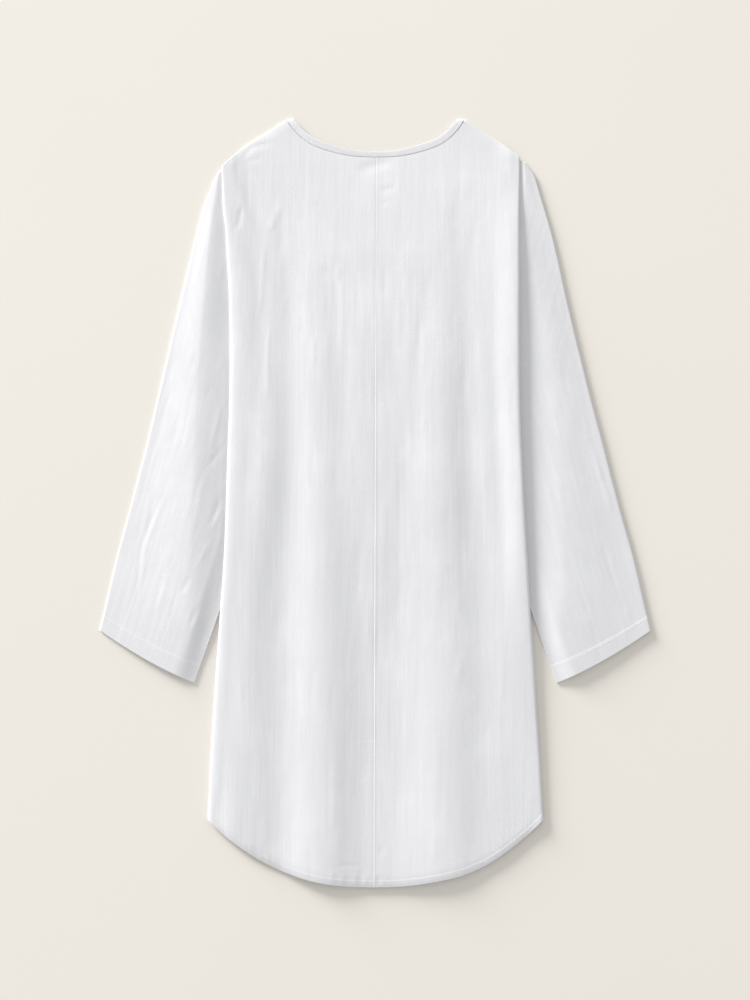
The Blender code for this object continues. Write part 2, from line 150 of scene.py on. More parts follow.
# y, left, right: distance of the sleeve's outer fold from the centre line
SLEEVE_EDGE = (
    (412.0, 176.0, 176.0),
    (404.0, 182.6, 183.0),
    (398.0, 187.4, 187.4),
    (391.0, 192.0, 191.6),
    (373.0, 199.0, 197.0),
    (354.0, 206.0, 202.8),
    (316.0, 216.0, 213.6),
    (244.0, 233.4, 229.8),
    (196.0, 244.8, 241.2),
    (124.0, 261.6, 259.2),
    (76.0, 273.0, 272.0),
    (4.0, 291.6, 290.6),
    (-68.0, 311.0, 310.6),
    (-116.0, 322.4, 322.0),
    (-152.2, 331.0, 330.4),
)
# y, left, right, then reach left, reach right: height of the crest of the body's folded side,
# and how far the cloth rolls out beyond that crest
RIM = (
    (405.0, 4.7, 4.6, 1.2, 1.2),
    (376.0, 5.0, 5.6, 3.0, 1.8),
    (340.0, 5.6, 8.1, 6.0, 2.0),
    (290.0, 6.1, 9.9, 9.0, 2.2),
    (240.0, 6.5, 11.1, 11.0, 2.2),
    (180.0, 6.8, 11.7, 12.0, 2.2),
    (60.0, 7.0, 11.8, 12.0, 2.2),
    (-40.0, 7.0, 11.3, 12.0, 2.6),
    (-100.0, 6.8, 9.8, 12.0, 3.0),
    (-200.0, 6.0, 7.2, 13.0, 3.0),
    (-300.0, 5.6, 6.1, 14.0, 3.0),
    (-385.0, 4.9, 5.5, 6.0, 3.0),
)
# y, height of the back's ridges, rise to the right for each 100 mm
BACK_LEVEL = (
    (445.0, 2.5, 0.0),
    (425.0, 3.0, 0.0),
    (408.0, 3.6, 0.1),
    (376.0, 4.6, 0.5),
    (340.0, 5.6, 0.8),
    (290.0, 6.9, 1.0),
    (240.0, 7.8, 1.1),
    (150.0, 8.8, 1.1),
    (0.0, 9.0, 1.0),
    (-150.0, 8.5, 0.5),
    (-300.0, 8.3, 0.0),
    (-460.0, 8.9, 0.0),
)
# y, x: the sleeve's underarm fold
SLEEVE_INNER = (
    (UNDERARM_Y, UNDERARM_X),
    (60.0, 134.6),
    (-60.0, 165.8),
    (-122.0, 184.6),
    (CUFF_INNER_Y, CUFF_INNER_X),
)
# x, y: the shoulder line, from the neck to the sleeve
SHOULDER = (
    (107.0, 459.0),
    (130.0, 443.8),
    (145.6, 434.6),
    (160.8, 424.0),
    (174.6, 412.6),
    (185.4, 401.0),
    (192.0, 391.6),
)
# x, y: the neck seam across the back
BACK_NECK = (
    (0.0, 415.0),
    (23.0, 415.8),
    (40.0, 418.4),
    (58.0, 422.9),
    (75.0, 429.2),
    (89.0, 438.2),
    (100.0, 449.6),
    (107.0, 459.0),
)


def smooth(value):
    """0 to 1 with level ends, clamped."""
    value = np.clip(value, 0.0, 1.0)
    return value * value * (3.0 - 2.0 * value)


def mix(first, last, share):
    return first + (last - first) * share


def through(rows, column, at):
    """A smooth curve through one column of a table, read at any number of places at once."""
    table = np.array(rows, float)
    if table[0, 0] > table[-1, 0]:
        table = table[::-1]
    xs, ys = table[:, 0], table[:, column]
    at = np.clip(at, xs[0], xs[-1])
    slopes = np.diff(ys) / np.diff(xs)
    tangents = np.zeros(len(xs))
    tangents[0], tangents[-1] = slopes[0], slopes[-1]
    for k in range(1, len(xs) - 1):
        if slopes[k - 1] * slopes[k] > 0.0:
            tangents[k] = 2.0 / (1.0 / slopes[k - 1] + 1.0 / slopes[k])
    k = np.clip(np.searchsorted(xs, at, side="right") - 1, 0, len(xs) - 2)
    step = xs[k + 1] - xs[k]
    t = (at - xs[k]) / step
    return (
        ys[k] * (1 + 2 * t) * (1 - t) ** 2
        + tangents[k] * step * t * (1 - t) ** 2
        + ys[k + 1] * t * t * (3 - 2 * t)
        + tangents[k + 1] * step * t * t * (t - 1)
    )


def side_column(side):
    return 1 if side == LEFT else 2


print("chest width laid flat, mm:", round(float(through(BODY_EDGE, 1, 184.0) + through(BODY_EDGE, 2, 184.0)), 1))

# %% [markdown]
# ## Lines of the cut
#
# A few small functions turn the tables into the lines a cutter would chalk: neck, shoulder, hem,
# armhole and side seam. The folded side of the back is a roll: `rim` gives its crest.

# %% Lines of the cut


def body_edge(side, y):
    return through(BODY_EDGE, side_column(side), y)


def front_edge(side, y):
    return body_edge(side, y) - FRONT_EDGE_INSET


def sleeve_edge(side, y):
    return through(SLEEVE_EDGE, side_column(side), y)


def sleeve_inner(y):
    return through(SLEEVE_INNER, 1, y)


def shoulder_y(x):
    return through(SHOULDER, 1, x)


def back_neck_y(x):
    return through(BACK_NECK, 1, np.abs(x))


def front_neck_y(x):
    share = np.minimum(1.0, np.abs(x) / NECK_HALF)
    return FRONT_NECK_Y + (NECK_TOP_Y - FRONT_NECK_Y) * share**FRONT_NECK_POWER


def hem_y(x):
    return HEM_Y + HEM_RISE * (np.minimum(np.abs(x), HEM_HALF + 4.0) / HEM_HALF) ** HEM_POWER


def neck_normal(neck_y, x):
    """Direction across the neck seam, from the panel to the opening, on the right side."""
    run = 0.5
    high = np.minimum(x + run, NECK_HALF)
    slope = (neck_y(high) - neck_y(x - run)) / (high - x + run)
    length = np.hypot(1.0, slope)
    return -slope / length, 1.0 / length


def return_end(side, y):
    """Where the folded-in side ends: the armhole seam above the underarm, the side seam below."""
    tip_y = TIP_Y[side]
    tip = front_edge(side, tip_y) - TIP_RETURN
    up = mix(UNDERARM_X, tip, np.clip((y - UNDERARM_Y) / (tip_y - UNDERARM_Y), 0.0, 1.0))
    down = mix(UNDERARM_X, SIDE_SEAM_HEM_X, (UNDERARM_Y - y) / (UNDERARM_Y + 380.0))
    return np.where(y >= UNDERARM_Y, up, down)


def rim(side, y):
    """Side fold of the back: (x of its crest, height of its crest, how far it rolls beyond)."""
    reach = through(RIM, side_column(side) + 2, y)
    return body_edge(side, y) - 0.4 - reach, through(RIM, side_column(side), y), reach


def return_z(y):
    """Height of the turned-in layer at the fold: it lies over the sleeve, or lower past the cuff."""
    return mix(BACK_RETURN_Z, BACK_RETURN_LOW_Z, smooth((-125.0 - y) / 60.0))


def back_return(side, y):
    """The back's turned-in layer: (inner end, start of its step, end of its step, inner height)."""
    inner = return_end(side, y)
    step_end = rim(side, y)[0] - 4.0
    step_end = np.where(
        y < UNDERARM_Y,
        np.minimum(step_end, sleeve_inner(np.minimum(y, UNDERARM_Y)) - 1.5),
        np.minimum(step_end, inner + 2.0),
    )
    room = step_end - inner
    step_start = np.maximum(inner + 0.4 * room, step_end - 24.0)
    drop = return_z(y) - (FRONT_RETURN_Z + LAYER)
    return inner, step_start, step_end, return_z(y) - drop * smooth((room - 3.0) / 16.0)


print("armhole laid straight, mm:", round(math.hypot(181.0 - UNDERARM_X, 399.0 - UNDERARM_Y)))

# %% [markdown]
# ## Folds and creases
#
# Two kinds of relief make cloth look like cloth. Long soft folds run down the back from the
# shoulders to the hem. On top of them lie creases: short, narrow, uneven, each placed where it
# belongs. A crease is a line of points with a half-width and a height, and a height
# below zero is a trough. Height fields are used, and not a cloth simulation, because a pressed
# and folded garment keeps its creases exactly where they were set.

# %% Folds and creases of the back
# each fold is a row of places (y, x, half_width, height) from the shoulders down to the hem
BACK_FOLDS = (
    (
        (385.0, -105.0, 16.0, 0.0), (328.0, -104.0, 15.0, -0.8), (256.0, -106.0, 15.5, -1.9),
        (184.0, -105.0, 15.0, -2.4), (112.0, -103.0, 14.0, -2.4), (40.0, -102.0, 15.0, -2.9),
        (-32.0, -105.0, 18.0, -3.5), (-104.0, -110.0, 21.0, -3.7), (-212.0, -113.0, 22.0, -3.6),
        (-320.0, -115.0, 22.0, -4.3), (-430.0, -116.0, 21.0, -4.2),
    ),
    (
        (300.0, -52.0, 10.0, 0.0), (256.0, -50.0, 10.0, -0.5), (184.0, -43.0, 10.0, -0.8),
        (112.0, -38.0, 13.0, -1.0), (40.0, -36.0, 13.0, -1.1), (-32.0, -38.0, 12.0, -0.7),
        (-140.0, -39.0, 13.0, -0.4), (-248.0, -38.0, 12.0, -0.6), (-356.0, -32.0, 12.0, -1.2),
        (-430.0, -33.0, 13.0, -1.6),
    ),
    (
        (300.0, -24.0, 18.0, 0.0), (256.0, -18.0, 18.0, -0.7), (184.0, -3.0, 13.0, -0.5),
        (112.0, -2.0, 16.0, -1.0), (40.0, 2.0, 20.0, -1.3), (-32.0, -9.0, 21.0, -2.0),
        (-104.0, -16.0, 20.0, -2.9), (-212.0, -16.0, 17.0, -3.1), (-320.0, -13.0, 16.0, -3.1),
        (-430.0, -13.0, 12.0, -2.2),
    ),
    (
        (300.0, 24.0, 14.0, 0.0), (256.0, 24.0, 15.0, -0.35), (184.0, 23.0, 10.0, -1.0),
        (112.0, 24.0, 14.0, -0.8), (40.0, 29.0, 10.0, -0.75), (-32.0, 27.0, 12.0, -1.7),
        (-104.0, 25.0, 16.0, -2.7), (-212.0, 19.0, 20.0, -3.7), (-320.0, 22.0, 20.0, -3.8),
        (-430.0, 16.0, 19.0, -3.6),
    ),
    (
        (300.0, 58.0, 16.0, 0.0), (256.0, 58.0, 16.0, -0.6), (148.0, 48.0, 11.0, -0.85),
        (40.0, 45.0, 11.0, -1.0), (-68.0, 52.0, 13.0, -0.95), (-176.0, 51.0, 16.0, -1.1),
        (-284.0, 50.0, 15.0, -1.0), (-430.0, 50.0, 15.0, -1.2),
    ),
    (
        (385.0, 115.0, 15.0, 0.0), (328.0, 114.0, 17.0, -1.0), (256.0, 107.0, 14.0, -1.4),
        (184.0, 110.0, 12.0, -1.8), (112.0, 110.0, 13.0, -2.2), (40.0, 112.0, 14.0, -2.6),
        (-32.0, 120.0, 18.0, -3.6), (-104.0, 127.0, 20.0, -3.2), (-212.0, 127.0, 17.0, -2.2),
        (-320.0, 125.0, 16.0, -1.6), (-430.0, 127.0, 16.0, -1.6),
    ),
    (
        (385.0, 146.0, 18.0, 0.0), (328.0, 145.0, 19.0, -0.3), (256.0, 136.0, 14.0, -0.8),
        (184.0, 139.0, 15.0, -1.3), (112.0, 147.0, 20.0, -1.8), (40.0, 153.0, 20.0, -2.1),
        (-32.0, 160.0, 20.0, -2.4), (-104.0, 166.0, 20.0, -1.3), (-212.0, 168.0, 24.0, -1.7),
        (-320.0, 172.0, 28.0, -2.6), (-430.0, 172.0, 28.0, -2.8),
    ),
    (
        (385.0, -146.0, 16.0, 0.0), (328.0, -146.0, 16.0, -0.8), (256.0, -141.0, 11.0, -1.3),
        (184.0, -140.0, 11.0, -1.1), (112.0, -147.0, 13.0, -0.8), (40.0, -156.0, 12.0, -0.7),
        (-32.0, -160.0, 12.0, -0.3), (-104.0, -158.0, 18.0, 0.0), (-250.0, -161.0, 17.0, -1.3),
        (-320.0, -162.0, 17.0, -1.8), (-430.0, -164.0, 16.0, -1.6),
    ),
)
# half_width, height, then the points (x, y) that the crease runs through
BACK_CREASES = (
    (1.4, 0.30, (-130.0, 326.0), (-133.0, 308.0), (-137.4, 241.0), (-142.2, 211.0)),
    (1.6, 0.30, (-124.2, 226.0), (-128.2, 196.0), (-129.6, 162.0), (-128.2, 115.0)),
    (3.0, 0.30, (-42.0, 292.0), (-41.0, 220.0), (-42.0, 154.0)),
    (1.3, 0.28, (-73.8, 204.0), (-73.8, 160.0)),
    (1.5, 0.25, (-45.0, 287.0), (-45.6, 262.0)),
    (2.4, -0.35, (-162.6, 409.5), (-148.2, 426.3), (-120.6, 433.5)),
    (1.6, -0.25, (-156.6, 410.7), (-136.2, 411.9)),
    (5.0, -0.50, (-27.0, 396.3), (1.8, 405.9), (27.0, 411.9)),
    (2.5, -0.25, (3.0, 373.5), (27.0, 379.5)),
    (1.3, -0.20, (3.0, 359.0), (17.4, 359.5)),
    (2.0, -0.50, (-160.8, 358.0), (-163.0, 342.0), (-165.6, 325.0)),
    (1.4, -0.22, (-153.0, 410.0), (-153.0, 345.0)),
    (3.0, 0.25, (-113.4, 360.3), (-121.0, 340.0), (-129.0, 322.0)),
    (6.0, -0.30, (-112.0, 366.0), (-113.0, 312.0), (-121.0, 290.0)),
    (1.3, -0.25, (-69.6, 363.0), (-69.4, 352.0)),
    (6.0, -0.30, (96.0, 364.0), (99.0, 292.0)),
    (1.4, 0.34, (-136.0, -420.0), (-138.0, -436.0)),
    (1.4, 0.30, (-129.0, -418.0), (-130.0, -438.0)),
    (1.4, 0.30, (-156.0, -402.0), (-158.0, -420.0)),
    (1.5, 0.28, (-149.0, -404.0), (-150.0, -422.0)),
    (1.6, 0.28, (-52.0, -438.0), (-52.0, -458.0)),
    (1.4, 0.28, (-40.0, -442.0), (-39.0, -459.0)),
    (1.5, 0.32, (-24.0, -441.0), (-25.0, -460.0)),
    (1.4, 0.28, (-12.0, -443.0), (-12.0, -460.0)),
    (1.6, -0.35, (4.0, -445.0), (3.0, -459.0)),
    (1.8, -0.30, (6.5, -408.0), (7.5, -424.0)),
    (1.3, -0.25, (-52.0, -434.0), (-13.0, -434.5)),
)


def crease_height(x, y, creases):
    """Height that a table of creases adds at each (x, y). Each crease fades out at both ends."""
    flat_x, flat_y = np.ravel(x), np.ravel(y)
    total = np.zeros(flat_x.shape)
    for half_width, height, *places in creases:
        line = np.array(places, float)
        room = 4.0 * half_width
        low, high = line.min(axis=0) - room, line.max(axis=0) + room
        near = np.nonzero(
            (flat_x > low[0]) & (flat_x < high[0]) & (flat_y > low[1]) & (flat_y < high[1])
        )[0]
        if not len(near):
            continue
        best = np.full(len(near), 1e9)
        place = np.zeros(len(near))
        done = 0.0
        for (ax, ay), (bx, by) in zip(line[:-1], line[1:]):
            run = math.hypot(bx - ax, by - ay)
            share = ((flat_x[near] - ax) * (bx - ax) + (flat_y[near] - ay) * (by - ay)) / run**2
            share = np.clip(share, 0.0, 1.0)
            away = np.hypot(flat_x[near] - ax - share * (bx - ax), flat_y[near] - ay - share * (by - ay))
            closer = away < best
            best = np.where(closer, away, best)
            place = np.where(closer, done + share * run, place)
            done += run
        fade = smooth(place / (0.35 * done)) * smooth((done - place) / (0.35 * done))
        total[near] += height * fade * np.exp(-0.5 * (best / half_width) ** 2)
    return total.reshape(np.shape(x))


def crinkles(seed, count, x_range, y_range, lengths, widths, heights, lean):
    """Small creases from washing, scattered evenly but not alike; lean is dx for each dy."""
    rng = np.random.default_rng(seed)
    rows = []
    for _ in range(count):
        x, y = rng.uniform(*x_range), rng.uniform(*y_range)
        length = rng.uniform(*lengths)
        tilt = lean + rng.normal(0.0, 0.03)
        height = rng.uniform(*heights) * rng.choice((-1.0, 1.0))
        bow = rng.normal(0.0, 0.02) * length
        half = length / 2
        rows.append((
            rng.uniform(*widths),
            height,
            (x - tilt * half, y - half),
            (x + bow, y),
            (x + tilt * half, y + half),
        ))
    return rows


BACK_CRINKLES = crinkles(11, 420, (-198.0, 198.0), (-455.0, 420.0), (22.0, 110.0), (1.5, 4.0), (0.03, 0.14), 0.0)
print("creases on the back:", len(BACK_CREASES), "by hand and", len(BACK_CRINKLES), "small")

# %% [markdown]
# ## A sheet from a grid
#
# Every sewn piece is a rectangular net of points bent into place, like graph paper. The net
# carries a UV map in metres, measured along and across the cloth, so the weave later follows the
# thread and not the room. Solidify gives the wall, and `new_from_object` makes it a plain mesh.

# %% Sheet helper


def cloth_distances(grid):
    """Distance along each row and each column of a net, in metres: (across, along)."""
    across = np.zeros(grid.shape[:2])
    across[:, 1:] = np.cumsum(np.linalg.norm(np.diff(grid, axis=1), axis=2), axis=1)
    along = np.zeros(grid.shape[:2])
    along[1:] = np.cumsum(np.linalg.norm(np.diff(grid, axis=0), axis=2), axis=0)
    return across * MM, along * MM


def plain_mesh(piece):
    """The piece as its modifiers leave it, as a plain mesh with no modifier left."""
    made = bpy.data.meshes.new_from_object(piece.evaluated_get(bpy.context.evaluated_depsgraph_get()))
    made.name = piece.name
    piece.modifiers.clear()
    piece.data = made
    return piece


def sheet_object(name, grid, material, wall, weld=False, flip=False):
    """A cloth piece through a net of points (millimetres), with a wall and a UV map in metres."""
    rows, columns = grid.shape[:2]
    first = (np.arange(rows - 1)[:, None] * columns + np.arange(columns - 1)[None, :]).ravel()
    faces = np.stack([first, first + 1, first + columns + 1, first + columns], axis=1)
    if flip:
        faces = faces[:, ::-1]
    across, along = cloth_distances(grid)
    mesh = bpy.data.meshes.new(name)
    mesh.from_pydata((grid.reshape(-1, 3) * MM).tolist(), [], faces.tolist())
    cut = mesh.uv_layers.new(name="cut")
    corners = np.stack([across.ravel()[faces.ravel()], along.ravel()[faces.ravel()]], axis=1)
    cut.uv.foreach_set("vector", corners.astype(np.float32).ravel())
    if weld:
        work = bmesh.new()
        work.from_mesh(mesh)
        bmesh.ops.remove_doubles(work, verts=work.verts, dist=0.000002)
        work.to_mesh(mesh)
        work.free()
    mesh.materials.append(material)
    mesh.shade_smooth()
    piece = bpy.data.objects.new(name, mesh)
    bpy.context.scene.collection.objects.link(piece)
    cloth = piece.modifiers.new("wall", "SOLIDIFY")
    cloth.thickness = wall * MM
    cloth.offset = 0.0
    cloth.use_even_offset = True
    cloth.use_quality_normals = True
    bpy.context.view_layer.update()
    plain_mesh(piece)
    print(name, "has", len(piece.data.polygons) * 2, "triangles")
    return piece


def lifted(grid, distance, sign):
    """The net moved out from its surface by a distance."""
    normal = np.cross(np.gradient(grid, axis=1), np.gradient(grid, axis=0))
    normal /= np.maximum(np.linalg.norm(normal, axis=2, keepdims=True), 1e-9)
    return grid + sign * distance * normal


print("sheet helper ready")

# %% [markdown]
# ## Linen
#
# Linen is a plain weave of uneven flax thread. Close up there are threads about half a
# millimetre apart; from a step away one sees thicker threads, called slubs, and fine lengthwise
# lines that stay after washing. The fine lines are bumps, and they also carry painted shade and
# light: the colour is a little darker where they dip and lighter where they rise. All of it is
# worked out from the UV map in metres. Roughness is high, and a little sheen stands for the loose
# fibres.

# %% Linen material


def new_node(tree, kind, place, **values):
    node = tree.nodes.new(kind)
    node.location = place
    for key, value in values.items():
        if key in node.inputs:
            node.inputs[key].default_value = value
        else:
            setattr(node, key, value)
    return node


def streaks(tree, source, scale, detail, place, rough=0.5):
    """Noise drawn out along one direction of the cloth."""
    mapping = new_node(tree, "ShaderNodeMapping", (place[0], place[1]))
    mapping.inputs["Scale"].default_value = (scale[0], scale[1], 1.0)
    tree.links.new(source, mapping.inputs["Vector"])
    noise = new_node(tree, "ShaderNodeTexNoise", (place[0] + 200, place[1]), Detail=detail, Roughness=rough)
    noise.inputs["Scale"].default_value = 1.0
    tree.links.new(mapping.outputs["Vector"], noise.inputs["Vector"])
    return noise.outputs["Fac"]


def ranged(tree, source, low, high, out_low, out_high, place):
    node = new_node(tree, "ShaderNodeMapRange", place)
    node.inputs["From Min"].default_value = low
    node.inputs["From Max"].default_value = high
    node.inputs["To Min"].default_value = out_low
    node.inputs["To Max"].default_value = out_high
    tree.links.new(source, node.inputs["Value"])
    return node.outputs["Result"]


def joined(tree, operation, first, second, place):
    node = new_node(tree, "ShaderNodeMath", place, operation=operation)
    for socket, value in zip(node.inputs, (first, second)):
        if isinstance(value, (int, float)):
            socket.default_value = value
        else:
            tree.links.new(value, socket)
    return node.outputs["Value"]


def linen(name, colour, roughness=0.9, thread_pitch=0.00055):
    """A white linen finish in the given colour, with its weave on the UV map named cut."""
    material = bpy.data.materials.new(name)
    material.use_nodes = True
    tree = material.node_tree
    shader = tree.nodes["Principled BSDF"]
    shader.inputs["Roughness"].default_value = roughness
    shader.inputs["Specular IOR Level"].default_value = 0.25
    shader.inputs["Sheen Weight"].default_value = 0.12
    shader.inputs["Sheen Roughness"].default_value = 0.5
    place = new_node(tree, "ShaderNodeUVMap", (-1800, 0), uv_map="cut").outputs["UV"]
    crease_lines_with_painted_shade = streaks(tree, place, (290.0, 15.0), 2.0, (-1500, 300))
    wide_lines = streaks(tree, place, (140.0, 8.0), 3.0, (-1500, 100))
    weft_slubs = streaks(tree, place, (60.0, 750.0), 1.0, (-1500, -100))
    warp_slubs = streaks(tree, place, (700.0, 60.0), 1.0, (-1500, -300))
    cloudy = streaks(tree, place, (14.0, 11.0), 3.0, (-1500, -500))
    weft_slubs = ranged(tree, weft_slubs, 0.64, 0.76, 0.0, 1.0, (-1000, -100))
    warp_slubs = ranged(tree, warp_slubs, 0.64, 0.76, 0.0, 1.0, (-1000, -300))
    slubs = joined(tree, "MAXIMUM", weft_slubs, warp_slubs, (-800, -200))

    weave = new_node(tree, "ShaderNodeMapping", (-1500, -700))
    weave.inputs["Scale"].default_value = (math.pi / thread_pitch, math.pi / thread_pitch, 1.0)
    tree.links.new(place, weave.inputs["Vector"])
    apart = new_node(tree, "ShaderNodeSeparateXYZ", (-1300, -700))
    tree.links.new(weave.outputs["Vector"], apart.inputs["Vector"])
    warp = joined(tree, "SINE", apart.outputs["X"], 0.0, (-1100, -650))
    weft = joined(tree, "SINE", apart.outputs["Y"], 0.0, (-1100, -800))
    threads = joined(tree, "MULTIPLY", warp, weft, (-900, -720))

    height = joined(tree, "MULTIPLY", threads, 0.05, (-700, -720))
    patches = ranged(tree, cloudy, 0.35, 0.65, 0.15, 1.0, (-1000, -450))
    crease_lines_with_painted_shade = joined(tree, "MULTIPLY", crease_lines_with_painted_shade, patches, (-900, 300))
    height = joined(tree, "ADD", height, joined(tree, "MULTIPLY", crease_lines_with_painted_shade, 0.14, (-700, 300)), (-500, 200))
    height = joined(tree, "ADD", height, joined(tree, "MULTIPLY", wide_lines, 0.37, (-700, 100)), (-350, 150))
    height = joined(tree, "ADD", height, joined(tree, "MULTIPLY", slubs, 0.12, (-700, -100)), (-200, 100))
    bump = new_node(tree, "ShaderNodeBump", (-50, -200))
    bump.inputs["Strength"].default_value = 0.55
    bump.inputs["Distance"].default_value = 0.001
    tree.links.new(height, bump.inputs["Height"])
    tree.links.new(bump.outputs["Normal"], shader.inputs["Normal"])

    tone = ranged(tree, cloudy, 0.3, 0.7, 0.985, 1.01, (-700, -500))
    # Painted shade and light: the colour darkens a little where the fine crease lines dip and lightens where they rise.
    tone = joined(tree, "MULTIPLY", tone, ranged(tree, crease_lines_with_painted_shade, 0.3, 0.7, 0.975, 1.02, (-700, 500)), (-500, 500))
    tone = joined(tree, "MULTIPLY", tone, ranged(tree, slubs, 0.0, 1.0, 1.0, 1.03, (-500, -300)), (-300, 400))
    paint = new_node(tree, "ShaderNodeVectorMath", (-100, 300), operation="SCALE")
    paint.inputs[0].default_value = colour
    tree.links.new(tone, paint.inputs["Scale"])
    tree.links.new(paint.outputs["Vector"], shader.inputs["Base Color"])
    return material


white_linen = linen("linen_back", (0.800, 0.800, 0.815))
front_linen = linen("linen_front", (0.790, 0.790, 0.805))
sleeve_linen = linen("linen_sleeve", (0.800, 0.800, 0.815))
band_linen = linen("linen_band", (0.815, 0.815, 0.830))
print("linen finishes:", [m.name for m in bpy.data.materials if m.name.startswith("linen")])

# %% [markdown]
# ## Back
#
# The back is two halves joined by a seam down the middle. On each side the cloth rolls over and
# goes back under itself to the side seam. Its height is worked out from what lies below: the
# front, the sleeve and its own turned-in layer. The bottom edge is a narrow hem, turned twice
# and stitched, so the last 8 mm are thicker.

# %% Height of the back


def back_height(side, x, y):
    """Height of the back's middle surface at (x, y), x signed, with every fold and crease."""
    out = np.abs(x)
    inner, step_start, step_end, inner_z = back_return(side, y)
    crest_x, crest_z, _ = rim(side, y)
    level = through(BACK_LEVEL, 1, y) + through(BACK_LEVEL, 2, y) * x / 100.0
    for fold in BACK_FOLDS:
        away = (x - through(fold, 1, y)) / through(fold, 2, y)
        level = level + through(fold, 3, y) * np.exp(-0.5 * away * away)
    over_return = inner_z + LAYER + 0.3
    over_sleeve = return_z(y) + LAYER + 0.1
    lead = STEP_LEAD * mix(0.5, 1.0, smooth((TIP_Y[side] - y) / 90.0))
    stack = BACK_Z_LOWEST + (over_return - BACK_Z_LOWEST) * smooth((out - inner + lead) / (lead - 3.0))
    stack = stack + np.maximum(0.0, over_sleeve - over_return) * smooth(
        (out - step_start + 12.0) / (step_end - step_start + 6.0)
    )
    soft = 0.8
    height = 0.5 * (level + stack + np.sqrt((level - stack) ** 2 + soft * soft))
    height = mix(height, crest_z, smooth((out - crest_x + RIM_RISE) / RIM_RISE))
    relief = crease_height(x, y, BACK_CREASES) + crease_height(x, y, BACK_CRINKLES)
    return np.maximum(height + relief, BACK_Z_LOWEST - 0.25)


def back_x(side, start, y):
    """Signed x, at height y, of the back's grid line that starts from the top at distance start."""
    top_crest = rim(side, TIP_Y[side] + 4.0)[0]
    centre = mix(CENTRE_SEAM_HEM_X, CENTRE_SEAM_TOP_X, (y - HEM_Y) / (BACK_NECK_Y - HEM_Y))
    share = start / top_crest
    return side * share * rim(side, y)[0] + (centre + side * SEAM_GAP / 2) * (1.0 - share)


def fold_arc(x, z, reach, rise, steps, first, last):
    """Points round a fold, from angle first to angle last, in degrees from +X, ends left out."""
    angles = np.radians(np.linspace(first, last, steps + 1)[1:-1])
    return [(x + reach * np.cos(a), z + rise * np.sin(a)) for a in angles]


def hem_fold(distance, width):
    """Extra height of a turned hem: a second ply, pulled down where the stitches run."""
    ply = HEM_PLY * smooth((width + 0.7 - distance) / 1.4)
    pulled = 0.12 * np.exp(-0.5 * ((distance - width + 1.4) / 0.6) ** 2)
    return ply - pulled


print("height of the back at its middle, mm:", round(float(back_height(RIGHT, np.array([50.0]), np.array([0.0]))[0]), 2))

# %% Net of the back
HEM_STEPS = (0.0, 0.5, 1.3, 2.6, 4.2, 5.4, 6.0, 6.6, 7.2, 7.8, 8.4, 9.2, 10.6)
CURL_STEPS = (10.2, 8.4, 6.8, 5.4, 4.2, 3.0, 2.0, 1.2, 0.5, 0.0)
SEAM_STEPS = (0.0, 0.5, 1.0, 1.5, 2.1, 3.0, 4.4, 6.4)
CELL = 2.6
RIM_STEPS = 10


